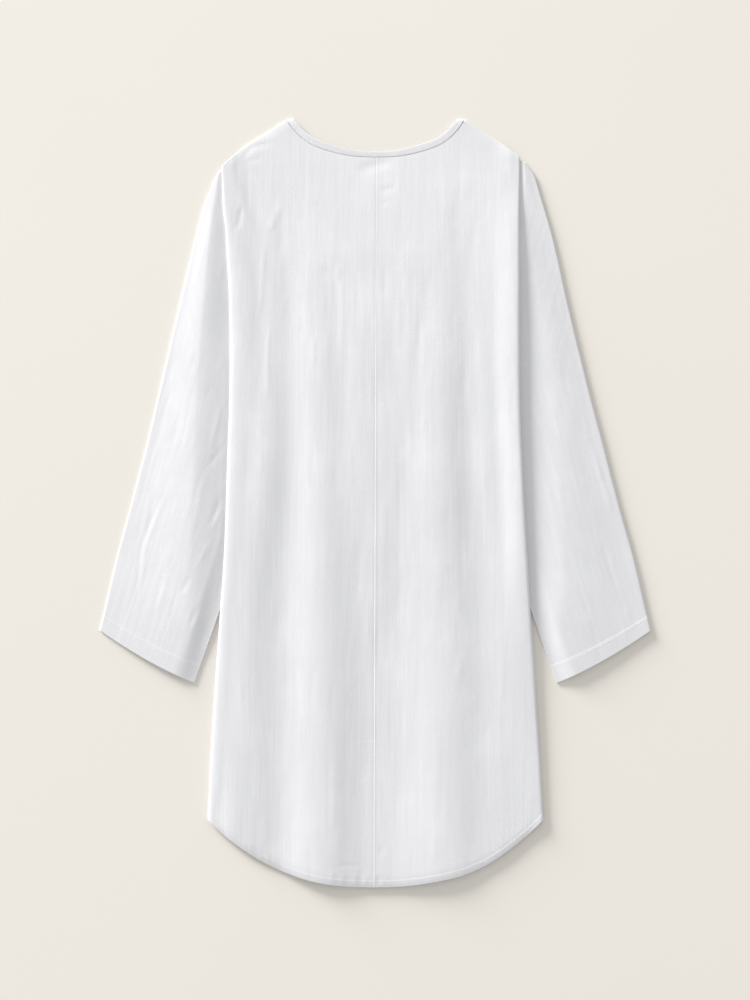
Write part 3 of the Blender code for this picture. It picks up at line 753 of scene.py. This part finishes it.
def back_net(side):
    """Net of one half of the back, hem first, each row from the centre seam out and under."""
    top_crest = float(rim(side, TIP_Y[side] + 4.0)[0])
    inner_starts = np.linspace(SEAM_STEPS[-1], NECK_HALF, int((NECK_HALF - SEAM_STEPS[-1]) / CELL) + 1)
    outer_starts = np.linspace(NECK_HALF, top_crest, int((top_crest - NECK_HALF) / CELL) + 1)
    starts = np.concatenate([SEAM_STEPS, inner_starts[1:], outer_starts[1:]])
    under_shoulder = starts >= NECK_HALF
    tops = np.where(under_shoulder, shoulder_y(starts), back_neck_y(starts))
    lows = hem_y(starts * float(rim(side, -385.0)[0]) / top_crest)
    lows = lows + HEM_CORNER * np.clip((starts / top_crest - 0.94) / 0.06, 0.0, 1.0) ** 2
    lows = lows - HEM_FULLER[side] * np.sin(math.pi * np.clip((starts / top_crest - 0.3) / 0.7, 0.0, 1.0)) ** 2
    rows = int((BACK_NECK_Y - HEM_Y) / CELL)
    shares = np.linspace(0.0, 1.0, rows)
    y = np.concatenate([
        lows + np.array(HEM_STEPS)[:, None],
        mix(lows + HEM_STEPS[-1] + 2.0, tops - CURL, shares[:, None]),
        tops - np.array(CURL_STEPS)[:, None],
    ])
    below = tops - y
    x = back_x(side, starts[None, :], y)
    z = back_height(side, x, y)
    fall = 1.0 - np.minimum(1.0, (y - lows) / HEM_DIP)
    hem_fall = HEM_FALL * (1.0 + 0.8 * smooth((-x - 60.0) / 60.0)) * smooth((top_crest - starts) / 16.0)
    z = z + hem_fold(y - lows, HEM_WIDTH) - hem_fall * fall * fall
    seam_away = np.abs(x - (mix(CENTRE_SEAM_HEM_X, CENTRE_SEAM_TOP_X, (y - HEM_Y) / (BACK_NECK_Y - HEM_Y))))
    stronger = mix(0.35, 1.0, smooth((330.0 - y) / 450.0))
    if side == RIGHT:
        z = z + 0.2 * stronger * np.exp(-0.5 * ((seam_away - 1.0) / 0.8) ** 2)
    else:
        z = z - 0.18 * stronger * np.exp(-0.5 * (seam_away / 1.2) ** 2)
    corner = smooth((starts - top_crest + CORNER) / CORNER)
    away = np.minimum(1.0, np.maximum(0.0, below) / CURL)
    curled = z - SHOULDER_DIP * (1.0 - corner) * (1.0 - away) ** 2
    near_seam = z - 0.08 * np.exp(-0.5 * (below / 1.6) ** 2)
    z = np.where(under_shoulder, curled, near_seam)
    normal_x, normal_y = neck_normal(back_neck_y, starts)
    at_neck = (~under_shoulder) & (below < CURL - 1e-6)
    x = np.where(at_neck & (starts > 0.0), x - side * normal_x * SEAM_GAP / 2, x)
    y = np.where(at_neck, y - normal_y * SEAM_GAP / 2, y)

    edge_y, edge_z = y[:, -1], z[:, -1]
    crest_x, _, reach = rim(side, edge_y)
    under_z = return_z(edge_y)
    middle, rise = (edge_z + under_z) / 2, (edge_z - under_z) / 2
    inner, step_start, step_end, inner_z = back_return(side, edge_y)
    under = fold_arc(crest_x, middle, reach, rise, RIM_STEPS, 90.0, -90.0)
    under += [(crest_x, under_z), (step_end, under_z)]
    under += [(mix(step_end, step_start, s), mix(under_z, inner_z, smooth(s))) for s in (0.33, 0.67)]
    under += [(mix(step_start, inner, s), inner_z) for s in (0.0, 0.33, 0.67, 1.0)]
    lift = HEM_RETURN_SLOPE * (1.0 - smooth((edge_y - hem_y(HEM_HALF)) / 60.0))
    outer_lift = HEM_FOLD_SLOPE * (1.0 - smooth((edge_y - edge_y[0]) / 30.0))
    columns = []
    for out, height in under:
        raised = lift * np.maximum(0.0, crest_x - out) + outer_lift * np.maximum(0.0, out - crest_x)
        columns.append(np.stack([side * out, edge_y + raised, height], axis=1))
    return np.concatenate([np.stack([x, y, z], axis=2), np.stack(columns, axis=1)], axis=1), len(starts)


back_nets = {side: back_net(side) for side in (LEFT, RIGHT)}
cloth_back = {}
for side, word in ((LEFT, "left"), (RIGHT, "right")):
    net, _ = back_nets[side]
    cloth_back[side] = sheet_object(f"cloth_back_{word}", net, white_linen, LINEN, flip=side == LEFT)

# %% [markdown]
# ## Sleeves
#
# Each sleeve is one tube, flat on the table beside the body, with an upper and a lower layer and
# a fold on each edge. Near the body it climbs over the turned-in side. The net goes once round
# the tube at each step from the shoulder to the cuff. The cuff is turned up 19 mm and stitched.

# %% Folds and creases of the sleeves
# y, place of the crest between the body (0) and the outer fold (1), then heights: crest, outer
# fold, beside the body
SLEEVE_CROWN = {
    LEFT: (
        (398.0, 0.45, 2.9, 2.5, 2.7),
        (360.0, 0.50, 3.5, 2.4, 2.7),
        (322.0, 0.54, 4.7, 2.2, 2.7),
        (226.0, 0.51, 6.0, 2.2, 2.7),
        (130.0, 0.46, 6.4, 1.9, 3.4),
        (34.0, 0.39, 7.1, 1.7, 3.7),
        (-62.0, 0.33, 7.8, 1.6, 4.4),
        (-134.0, 0.28, 6.9, 1.7, 4.2),
        (-216.0, 0.25, 4.8, 1.7, 3.2),
    ),
    RIGHT: (
        (408.0, 0.30, 3.6, 3.0, 3.2),
        (322.0, 0.35, 3.8, 3.4, 2.8),
        (226.0, 0.54, 5.1, 3.7, 2.9),
        (130.0, 0.52, 5.8, 3.8, 3.0),
        (34.0, 0.46, 6.5, 3.9, 3.3),
        (-62.0, 0.38, 7.1, 3.9, 3.8),
        (-134.0, 0.28, 6.9, 3.9, 4.2),
        (-216.0, 0.22, 5.8, 3.8, 3.6),
    ),
}
# half_width, height, then the points (x, y) that the crease runs through
SLEEVE_CREASES = (
    (1.8, -0.30, (-252.6, 19.5), (-274.2, -35.7), (-280.2, -52.5), (-288.6, -125.7)),
    (2.2, 0.18, (-249.0, 18.0), (-270.4, -36.5), (-276.4, -53.5), (-284.8, -126.0)),
    (1.8, -0.25, (-180.6, 69.9), (-204.6, 39.9)),
    (2.0, 0.22, (-184.0, 128.0), (-190.0, 96.0), (-199.0, 60.0)),
    (2.0, -0.28, (-183.0, 9.9), (-198.6, -29.7)),
    (1.8, -0.25, (-220.2, -86.1), (-234.6, -110.1)),
    (2.0, 0.22, (-186.0, -6.0), (-203.0, -44.0)),
    (1.8, 0.22, (-196.0, -40.0), (-214.0, -78.0)),
    (1.8, -0.25, (-208.0, -118.0), (-226.0, -150.0)),
    (1.6, -0.22, (-262.0, 20.0), (-276.0, -40.0)),
    (1.8, 0.22, (194.0, 40.0), (216.0, 2.0)),
    (1.8, -0.25, (204.0, -20.0), (224.0, -62.0)),
    (2.0, 0.24, (214.0, -80.0), (236.0, -118.0)),
    (1.8, -0.28, (240.0, -96.0), (258.0, -140.0)),
    (1.6, 0.22, (262.0, 60.0), (286.0, -20.0)),
    (1.6, -0.22, (268.0, -40.0), (292.0, -112.0)),
)
SLEEVE_LEAN = -0.262
LEFT_CRINKLES = crinkles(23, 150, (-318.0, -178.0), (-205.0, 390.0), (18.0, 80.0), (1.4, 3.5), (0.03, 0.14), -SLEEVE_LEAN)
RIGHT_CRINKLES = crinkles(29, 150, (178.0, 318.0), (-205.0, 390.0), (18.0, 80.0), (1.4, 3.5), (0.03, 0.14), SLEEVE_LEAN)
SLEEVE_RELIEF = {
    LEFT: [*SLEEVE_CREASES, *LEFT_CRINKLES],
    RIGHT: [*SLEEVE_CREASES, *RIGHT_CRINKLES],
}
BODY_SIDE_SLOPE = {LEFT: 0.45, RIGHT: 0.0}
OUTER_SLOPE = {LEFT: 0.5, RIGHT: 0.0}
SLEEVE_RISE_FROM = {LEFT: -5.0, RIGHT: 1.0}
SLEEVE_RISE_RUN = {LEFT: 11.0, RIGHT: 6.0}
SLEEVE_CELLS = 58
SLEEVE_LOWER_CELLS = 20
SLEEVE_ROW = 2.6


def sleeve_heights(side, x, y, edge):
    """Heights of the sleeve's (lower, upper) layer at distance x from the centre line."""
    away = x - front_edge(side, y) - SLEEVE_CLEAR
    under = mix(SLEEVE_UNDER_Z, LINEN / 2 + 0.03, smooth(away / SLEEVE_DROP))
    start = body_edge(side, y) + 1.0
    share = (x - start) / np.maximum(6.0, edge - start)
    crest, crest_z, edge_z, body_z = (through(SLEEVE_CROWN[side], column, y) for column in (1, 2, 3, 4))
    rise = np.clip((1.0 - share) / (1.0 - crest), 0.0, 1.0)
    outer = mix(edge_z, crest_z, mix(smooth(rise), rise, OUTER_SLOPE[side]))
    climb = np.clip(share / crest, 0.0, 1.0)
    climb = mix(smooth(climb), climb * (2.0 - climb), BODY_SIDE_SLOPE[side])
    near_body = mix(body_z, crest_z, climb)
    over = np.where(share > crest, outer, near_body)
    over = over + crease_height(side * x, y, SLEEVE_RELIEF[side]) * smooth((edge - x) / 8.0)
    rise_from = body_edge(side, y) + SLEEVE_RISE_FROM[side]
    over = mix(SLEEVE_OVER_Z, over, smooth((x - rise_from) / SLEEVE_RISE_RUN[side]))
    lowest = under + LAYER + 0.3 * smooth((x - start) / 12.0)
    over = mix(lowest, over, smooth((x - sleeve_inner(y) + 4.0) / 32.0))
    over = np.maximum(lowest, over)
    return under, np.where(x <= rise_from, SLEEVE_OVER_Z, over)


def sleeve_net(side):
    """Net of one sleeve from the shoulder down, each row from the underarm edge of the upper
    layer out round the outer fold and back to the underarm edge of the lower layer."""
    rows = []
    above = int((TIP_Y[side] - UNDERARM_Y) / SLEEVE_ROW)
    for k in range(above):
        y = mix(TIP_Y[side], UNDERARM_Y, (k / above) ** 1.1)
        rows.append((y, y, False, 100.0))
    inner_run, outer_run = UNDERARM_Y - CUFF_INNER_Y, UNDERARM_Y - CUFF_OUTER_Y
    run = (inner_run + outer_run) / 2
    main = np.linspace(0.0, 1.0 - 24.0 / run, int(run / SLEEVE_ROW))
    cuff = 1.0 - np.array((21.5, 20.2, 19.6, 19.0, 18.4, 17.8, 17.2, 16.6, 15.0, 12.0, 9.0, 6.0, 3.5, 1.8, 0.6, 0.0)) / run
    for share in np.concatenate([main, cuff]):
        rows.append((
            mix(UNDERARM_Y, CUFF_INNER_Y, share), mix(UNDERARM_Y, CUFF_OUTER_Y, share), True, (1.0 - share) * run,
        ))
    net = []
    hem_r = (SLEEVE_OVER_Z - SLEEVE_UNDER_Z) / 2
    for inner_y, outer_y, closed, from_cuff in rows:
        inner = float(sleeve_inner(inner_y)) if closed else float(return_end(side, np.array(inner_y)))
        edge = float(sleeve_edge(side, outer_y))
        bow = CUFF_BOW * float(smooth(1.0 - from_cuff / 180.0)) if closed else 0.0

        def level(out):
            place = np.clip((out - inner) / (edge - inner), 0.0, 1.0)
            return mix(inner_y, outer_y, place) - 4.0 * bow * place * (1.0 - place)

        crossing = float(front_edge(side, inner_y)) + SLEEVE_CLEAR
        for _ in range(3):
            crossing = float(front_edge(side, level(crossing))) + SLEEVE_CLEAR
        crossing = max(crossing, inner + 7.0)
        fold = min(1.3, 0.3 * (edge - crossing))
        last = edge - 0.4 - fold
        begin = inner + hem_r + 0.3
        near = np.linspace(begin, crossing, 7)[:-1]
        outs = np.concatenate([near, np.linspace(crossing, last, SLEEVE_CELLS)])
        ply = float(hem_fold(from_cuff, CUFF_HEM_WIDTH)) if closed else 0.0
        upper = sleeve_heights(side, outs, level(outs), edge)[1] + ply
        lows = np.linspace(begin, last, SLEEVE_LOWER_CELLS)
        lower = sleeve_heights(side, lows, level(lows), edge)[0]
        high, low = upper[-1], lower[-1]
        rounded = fold_arc(last, (high + low) / 2, fold, (high - low) / 2, 8, 90.0, -90.0)
        if closed:
            over_end = float(sleeve_heights(side, np.array(inner + hem_r), np.array(level(inner)), edge)[0])
            seam, hem_rise = (over_end + upper[0]) / 2, (upper[0] - over_end) / 2
            start = [(inner, seam), *fold_arc(inner + hem_r, seam, hem_r, hem_rise, 4, 180.0, 90.0)]
            start += [(inner + hem_r, seam + hem_rise)]
            end = [(inner + hem_r, seam - hem_rise)]
            end += [*fold_arc(inner + hem_r, seam, hem_r, hem_rise, 4, 270.0, 180.0), (inner, seam)]
        else:
            start = [(inner + step * hem_r, SLEEVE_OVER_Z) for step in (0.0, 0.25, 0.5, 0.75, 1.0)]
            end = [(inner + step * hem_r, SLEEVE_UNDER_Z) for step in (1.0, 0.75, 0.5, 0.25, 0.0)]
        ring = [*start, *zip(outs, upper), *rounded, *zip(lows[::-1], lower[::-1]), *end]
        net.append([(side * out, level(out), height) for out, height in ring])
    return np.array(net, float)


sleeve_nets = {side: sleeve_net(side) for side in (LEFT, RIGHT)}
cloth_sleeve = {}
for side, word in ((LEFT, "left"), (RIGHT, "right")):
    cloth_sleeve[side] = sheet_object(
        f"cloth_sleeve_{word}", sleeve_nets[side], sleeve_linen, LINEN, weld=True, flip=side == RIGHT
    )

# %% [markdown]
# ## Front
#
# The front lies on the table under everything else, so little of it shows: its edges at the
# shoulders and hem, and the inside of the turned-in sides. It is still cut whole, with the
# deeper front neckline.

# %% Net of the front
FRONT_ROWS = 190
FRONT_CELL = 4.5
FRONT_FOLD_R = (FRONT_RETURN_Z - FRONT_Z) / 2


def front_base(side, y):
    """Distance from the centre line where the front starts to turn over."""
    return front_edge(side, y) - LINEN / 2 - FRONT_FOLD_R


def front_x(side, start, y):
    """Signed x, at height y, of the front's grid line that starts from the top at distance start."""
    return side * start * front_base(side, y) / front_base(side, TIP_Y[side])


def front_net():
    """Net of the front, hem first, each row from the left side seam round to the right one."""
    halves = []
    for side in (LEFT, RIGHT):
        top_base = float(front_base(side, TIP_Y[side]))
        starts = np.concatenate([
            np.linspace(0.0, NECK_HALF, int(NECK_HALF / FRONT_CELL) + 1),
            np.linspace(NECK_HALF, top_base, int((top_base - NECK_HALF) / FRONT_CELL) + 1)[1:],
        ])
        tops = np.where(starts < NECK_HALF, front_neck_y(starts), shoulder_y(starts) + 0.4)
        lows = hem_y(starts * HEM_HALF / (top_base + FRONT_EDGE_INSET)) + FRONT_HEM_SHORTER
        shares = np.linspace(0.0, 1.0, FRONT_ROWS)
        y = mix(lows, tops, shares[:, None])
        x = front_x(side, starts[None, :], y)
        sewn_up = (starts >= NECK_HALF) * (1.0 - smooth((starts - top_base + 26.0) / 14.0))
        z = FRONT_Z + 0.7 * sewn_up * (1.0 - np.minimum(1.0, (tops - y) / CURL)) ** 2
        normal_x, normal_y = neck_normal(front_neck_y, np.minimum(starts, NECK_HALF - 0.6))
        at_neck = (np.arange(FRONT_ROWS)[:, None] == FRONT_ROWS - 1) & (starts < NECK_HALF)
        x = np.where(at_neck & (starts > 0.0), x - side * normal_x * GAP / 2, x)
        y = np.where(at_neck, y - normal_y * GAP / 2, y)
        edge_y = y[:, -1]
        base = np.abs(x[:, -1])
        inner = return_end(side, edge_y)
        over = fold_arc(base, FRONT_Z + FRONT_FOLD_R, FRONT_FOLD_R, FRONT_FOLD_R, 6, -90.0, 90.0)
        over += [(mix(base, inner, s), FRONT_RETURN_Z) for s in np.linspace(0.0, 1.0, 9)]
        lift = HEM_RETURN_SLOPE * (1.0 - smooth((edge_y - hem_y(HEM_HALF)) / 60.0))
        columns = [
            np.stack([side * out, edge_y + lift * np.maximum(0.0, base - out), height + 0.0 * out], axis=1)
            for out, height in over
        ]
        halves.append(np.concatenate([np.stack([x, y, z], axis=2), np.stack(columns, axis=1)], axis=1))
    left, right = halves
    return np.concatenate([left[:, :0:-1], right], axis=1)


cloth_front = sheet_object("cloth_front", front_net(), front_linen, LINEN)

# %% [markdown]
# ## Neck binding
#
# A narrow strip, folded over the raw edge and stitched down, runs all round the neckline. It
# lies on the back, turns over at each shoulder and comes back along the front, under the back.
# Its net is a ring of short rows. Each row has a profile: a tucked-in seam, a stitched groove
# and a soft roll at the free edge.

# %% Net of the neck binding
# share of the band's width from its seam, height above the middle surface
BAND_PROFILE = (
    (0.0, -0.06),
    (0.05, 0.0),
    (0.13, 0.08),
    (0.22, 0.06),
    (0.30, 0.0),
    (0.40, 0.06),
    (0.60, 0.10),
    (0.80, 0.08),
    (0.93, 0.03),
    (0.985, -0.02),
    (1.0, -0.05),
)
BAND_STEP = 2.5
BAND_LIFT = 0.08


def band_net():
    """The neck binding as a closed ring of rows, from its seam to its free edge."""
    shares = np.array([row[0] for row in BAND_PROFILE])
    raised = np.array([row[1] for row in BAND_PROFILE])
    back_starts = np.linspace(0.0, 101.0, int(101.0 / BAND_STEP) + 1)
    front_starts = np.linspace(0.0, 101.0, int(101.0 / BAND_STEP) + 1)[::-1]
    front_z = BAND_LINEN / 2 + 0.2
    ring = []
    for side in (RIGHT, LEFT):
        half = []
        for start in back_starts:
            across_x, across_y = (float(v) for v in neck_normal(back_neck_y, start))
            width = float(mix(BAND_WIDTH_CENTRE, BAND_WIDTH_SIDE, smooth(start / 55.0)))
            y = float(back_neck_y(start))
            x = side * (float(back_x(side, start, y)) if start else CENTRE_SEAM_TOP_X)
            z = float(back_height(side, np.array(side * x), np.array(y)))
            across_x = across_x if start else 0.0
            near = float(mix(SEAM_GAP / 2, BAND_FOLD_GAP / 3, smooth((start - 80.0) / 14.0)))
            along = mix(near, width, shares)
            half.append(np.stack([x + across_x * along, y + across_y * along, z + raised + BAND_LIFT], axis=1))
        back_z = BACK_Z_NECK + BAND_LIFT
        turn = (back_z - front_z) / 2
        for angle in np.linspace(90.0, -90.0, 13):
            neck_y = back_neck_y if angle >= 0.0 else front_neck_y
            normal = [float(v) for v in neck_normal(neck_y, NECK_HALF - 1.0)]
            set_back = turn * (1.0 - math.cos(math.radians(angle)))
            x = NECK_HALF - normal[1] * set_back
            y = NECK_TOP_Y + normal[0] * set_back
            z = (back_z + front_z) / 2 + turn * math.sin(math.radians(angle))
            along = mix(BAND_FOLD_GAP, BAND_WIDTH_SIDE, shares)
            puff = raised * math.sin(math.radians(angle))
            half.append(np.stack([
                x + BAND_FOLD_ACROSS[0] * along, y + BAND_FOLD_ACROSS[1] * along, z + puff,
            ], axis=1))
        for start in front_starts:
            across_x, across_y = (float(v) for v in neck_normal(front_neck_y, start))
            across_x = across_x if start else 0.0
            y = float(front_neck_y(start))
            near = float(mix(SEAM_GAP / 2, BAND_FOLD_GAP / 3, smooth((start - 80.0) / 14.0)))
            x = side * float(front_x(side, start, y))
            along = mix(near, BAND_WIDTH_SIDE, shares)
            half.append(np.stack([x + across_x * along, y + across_y * along, front_z + 0.0 * raised], axis=1))
        half = np.array(half)
        half[:, :, 0] *= side
        ring.append(half if side == RIGHT else half[-2::-1])
    return np.concatenate(ring)


neck_net = band_net()
cloth_binding = sheet_object("cloth_neck_binding", neck_net, band_linen, BAND_LINEN, weld=True)

# %% [markdown]
# ## Stitches
#
# A lockstitch row is the same short thread over and over, so it is a job for Geometry Nodes. The
# tree takes a path, cuts it into even steps and sets one rounded thread on each step, turned
# along the path. Pitch, length, thickness and seed are named inputs. Realize Instances at the
# end turns the row into real faces.

# %% Stitch tree


def stitch_tree(thread):
    tree = bpy.data.node_groups.new("row_of_stitches", "GeometryNodeTree")
    face = tree.interface
    face.new_socket("Path", in_out="INPUT", socket_type="NodeSocketGeometry")
    for title, value in (("Pitch", 0.0028), ("Stitch Length", 0.0023), ("Thread Thickness", 0.0005)):
        socket = face.new_socket(title, in_out="INPUT", socket_type="NodeSocketFloat")
        socket.default_value = value
    face.new_socket("Seed", in_out="INPUT", socket_type="NodeSocketInt").default_value = 3
    face.new_socket("Stitches", in_out="OUTPUT", socket_type="NodeSocketGeometry")
    node, link = tree.nodes.new, tree.links.new
    given, result = node("NodeGroupInput"), node("NodeGroupOutput")
    curve = node("GeometryNodeMeshToCurve")
    steps = node("GeometryNodeResampleCurve")
    steps.mode = "LENGTH"
    tangent = node("GeometryNodeInputTangent")
    turned = node("FunctionNodeAlignRotationToVector")
    turned.axis = "Z"
    ball = node("GeometryNodeMeshUVSphere")
    ball.inputs["Segments"].default_value = 6
    ball.inputs["Rings"].default_value = 5
    ball.inputs["Radius"].default_value = 0.5
    size = node("ShaderNodeCombineXYZ")
    uneven = node("FunctionNodeRandomValue")
    uneven.data_type = "FLOAT"
    uneven.inputs["Min"].default_value = 0.86
    uneven.inputs["Max"].default_value = 1.08
    longer = node("ShaderNodeMath")
    longer.operation = "MULTIPLY"
    place = node("GeometryNodeInstanceOnPoints")
    real = node("GeometryNodeRealizeInstances")
    soft = node("GeometryNodeSetShadeSmooth")
    paint = node("GeometryNodeSetMaterial")
    paint.inputs["Material"].default_value = thread
    link(given.outputs["Path"], curve.inputs["Mesh"])
    link(curve.outputs["Curve"], steps.inputs["Curve"])
    link(given.outputs["Pitch"], steps.inputs["Length"])
    link(steps.outputs["Curve"], place.inputs["Points"])
    link(tangent.outputs["Tangent"], turned.inputs["Vector"])
    link(turned.outputs["Rotation"], place.inputs["Rotation"])
    link(ball.outputs["Mesh"], place.inputs["Instance"])
    link(given.outputs["Seed"], uneven.inputs["Seed"])
    link(given.outputs["Stitch Length"], longer.inputs[0])
    link(uneven.outputs[1], longer.inputs[1])
    link(given.outputs["Thread Thickness"], size.inputs["X"])
    link(given.outputs["Thread Thickness"], size.inputs["Y"])
    link(longer.outputs["Value"], size.inputs["Z"])
    link(size.outputs["Vector"], place.inputs["Scale"])
    link(place.outputs["Instances"], real.inputs["Geometry"])
    link(real.outputs["Geometry"], soft.inputs["Geometry"])
    link(soft.outputs["Geometry"], paint.inputs["Geometry"])
    link(paint.outputs["Geometry"], result.inputs["Stitches"])
    return tree


thread = bpy.data.materials.new("sewing_thread")
thread.use_nodes = True
thread_shader = thread.node_tree.nodes["Principled BSDF"]
thread_shader.inputs["Roughness"].default_value = 0.65
thread_shader.inputs["Sheen Weight"].default_value = 0.1
twist = new_node(thread.node_tree, "ShaderNodeTexNoise", (-500, 0), Scale=900.0, Detail=2.0)
thread_place = new_node(thread.node_tree, "ShaderNodeTexCoord", (-700, 0))
thread.node_tree.links.new(thread_place.outputs["Object"], twist.inputs["Vector"])
thread_tone = new_node(thread.node_tree, "ShaderNodeMix", (-250, 0), data_type="RGBA")
thread_tone.inputs[6].default_value = (0.74, 0.74, 0.75, 1.0)
thread_tone.inputs[7].default_value = (0.80, 0.80, 0.81, 1.0)
thread.node_tree.links.new(twist.outputs["Fac"], thread_tone.inputs[0])
thread.node_tree.links.new(thread_tone.outputs[2], thread_shader.inputs["Base Color"])
row_of_stitches = stitch_tree(thread)


def stitch_rows(name, paths, pitch, length, thickness, seed):
    """One mesh of stitches along several paths (millimetres); a path is (points, closed)."""
    points, edges = [], []
    for path, closed in paths:
        first = len(points)
        points += [tuple(p * MM) for p in path]
        edges += [(first + k, first + k + 1) for k in range(len(path) - 1)]
        if closed:
            edges.append((len(points) - 1, first))
    mesh = bpy.data.meshes.new(name)
    mesh.from_pydata(points, edges, [])
    piece = bpy.data.objects.new(name, mesh)
    bpy.context.scene.collection.objects.link(piece)
    sewn = piece.modifiers.new("stitches", "NODES")
    sewn.node_group = row_of_stitches
    wanted = {"Pitch": pitch, "Stitch Length": length, "Thread Thickness": thickness, "Seed": seed}
    for item in row_of_stitches.interface.items_tree:
        if item.item_type == "SOCKET" and item.in_out == "INPUT" and item.name in wanted:
            sewn[item.identifier] = wanted[item.name]
    bpy.context.view_layer.update()
    plain_mesh(piece)
    print(name, "has", len(piece.data.polygons), "faces")
    return piece


# %% Sew the hem, cuffs and neck
hem_row = HEM_STEPS.index(6.6)
hem_paths = []
for side in (LEFT, RIGHT):
    net, shown = back_nets[side]
    raised = lifted(net, LINEN / 2 + 0.04, side)
    hem_paths.append((raised[hem_row, 1:shown + RIM_STEPS - 1], False))
hem_stitches = stitch_rows("stitches_hem", hem_paths, 0.0030, 0.0024, 0.00035, 5)

cuff_paths = []
for side in (LEFT, RIGHT):
    net = sleeve_nets[side]
    raised = lifted(net, LINEN / 2 + 0.04, -side)
    cuff_paths.append((raised[-9, 1 : SLEEVE_CELLS + 14], False))
cuff_stitches = stitch_rows("stitches_cuffs", cuff_paths, 0.0030, 0.0024, 0.00035, 6)

neck_row = 4
raised_neck = neck_net.copy()
raised_neck[:, :, 2] += BAND_LINEN / 2 + 0.04
neck_path = raised_neck[: len(raised_neck) // 2, neck_row]
half_ring = len(neck_net) // 2
shown_part = int(101.0 / BAND_STEP) + 4
neck_paths = [
    (raised_neck[:shown_part, neck_row], False),
    (raised_neck[-shown_part:, neck_row], False),
]
neck_stitches = stitch_rows("stitches_neck", neck_paths, 0.0028, 0.0022, 0.00035, 7)

# %% [markdown]
# ## Floor, light and camera
#
# The tunic lies on a plain cream surface. A large soft light stands low at the upper left, so
# every small fold shades itself, and a pale room fills the shadows. The camera looks straight
# down from far away, which keeps the outline true.

# %% Floor
floor_paint = bpy.data.materials.new("cream_table")
floor_paint.use_nodes = True
floor_shader = floor_paint.node_tree.nodes["Principled BSDF"]
floor_shader.inputs["Roughness"].default_value = 0.85
floor_shader.inputs["Specular IOR Level"].default_value = 0.2
floor_noise = new_node(floor_paint.node_tree, "ShaderNodeTexNoise", (-500, 0), Scale=2.5, Detail=4.0)
floor_place = new_node(floor_paint.node_tree, "ShaderNodeTexCoord", (-700, 0))
floor_paint.node_tree.links.new(floor_place.outputs["Object"], floor_noise.inputs["Vector"])
floor_tone = new_node(floor_paint.node_tree, "ShaderNodeMix", (-250, 0), data_type="RGBA")
floor_tone.inputs[6].default_value = (0.845, 0.805, 0.735, 1.0)
floor_tone.inputs[7].default_value = (0.865, 0.825, 0.755, 1.0)
floor_paint.node_tree.links.new(floor_noise.outputs["Fac"], floor_tone.inputs[0])
floor_paint.node_tree.links.new(floor_tone.outputs[2], floor_shader.inputs["Base Color"])
table_mesh = bpy.data.meshes.new("table")
FLOOR_HALF = 6.0
table_mesh.from_pydata(
    [(-FLOOR_HALF, -FLOOR_HALF, 0), (FLOOR_HALF, -FLOOR_HALF, 0), (FLOOR_HALF, FLOOR_HALF, 0), (-FLOOR_HALF, FLOOR_HALF, 0)],
    [],
    [(0, 1, 2, 3)],
)
table_mesh.materials.append(floor_paint)
table_top = bpy.data.objects.new("table_top", table_mesh)
bpy.context.scene.collection.objects.link(table_top)
print("table", 2 * FLOOR_HALF, "m wide")

# %% Light
KEY_AZIMUTH = 132.0
KEY_ELEVATION = 11.5
KEY_DISTANCE = 16.0
KEY_SIZE = 6.0
KEY_POWER = 4770.0
FILL_STRENGTH = 0.645

key_data = bpy.data.lights.new("window_light", "AREA")
key_data.shape = "DISK"
key_data.size = KEY_SIZE
key_data.energy = KEY_POWER
key_data.color = (1.0, 0.995, 0.985)
key_light = bpy.data.objects.new("window_light", key_data)
azimuth, elevation = math.radians(KEY_AZIMUTH), math.radians(KEY_ELEVATION)
key_light.location = (
    KEY_DISTANCE * math.cos(azimuth) * math.cos(elevation),
    KEY_DISTANCE * math.sin(azimuth) * math.cos(elevation),
    KEY_DISTANCE * math.sin(elevation),
)
key_light.rotation_euler = (-key_light.location).to_track_quat("-Z", "Y").to_euler()
bpy.context.scene.collection.objects.link(key_light)

world = bpy.data.worlds.new("pale_room")
bpy.context.scene.world = world
world.use_nodes = True
world.node_tree.nodes["Background"].inputs["Color"].default_value = (0.985, 0.99, 1.0, 1.0)
world.node_tree.nodes["Background"].inputs["Strength"].default_value = FILL_STRENGTH
bpy.context.scene.view_settings.view_transform = "Standard"
bpy.context.scene.view_settings.look = "None"
print("key light at", [round(v, 2) for v in key_light.location])

# %% Camera
VIEW_HEIGHT = 1.2
VIEW_CENTRE = (-0.0006, 0.0039)
LENS = 100.0
SENSOR = 36.0
camera_data = bpy.data.cameras.new("overhead")
camera_data.lens = LENS
camera_data.sensor_width = SENSOR
camera = bpy.data.objects.new("overhead", camera_data)
camera.location = (VIEW_CENTRE[0], VIEW_CENTRE[1], VIEW_HEIGHT * LENS / SENSOR)
camera.rotation_euler = (0.0, 0.0, 0.0)
bpy.context.scene.collection.objects.link(camera)
bpy.context.scene.camera = camera
print("camera height, m:", round(camera.location.z, 3))

# %% [markdown]
# ## Bind the pieces to the frame
#
# Each shell stands for its solid and moves with the one body; the solid itself is hidden. The
# stitches move with the same body.

# %% Bind
FINISHED = (
    (cloth_front, "front", "linen_front"),
    (cloth_back[LEFT], "back_left", "linen_back"),
    (cloth_back[RIGHT], "back_right", "linen_back"),
    (cloth_sleeve[LEFT], "sleeve_left", "linen_sleeve"),
    (cloth_sleeve[RIGHT], "sleeve_right", "linen_sleeve"),
    (cloth_binding, "neck_binding", "linen_band"),
)
for piece, node, slot in FINISHED:
    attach(piece, "root")
    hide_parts(node)
for piece in (hem_stitches, cuff_stitches, neck_stitches):
    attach(piece, "root")
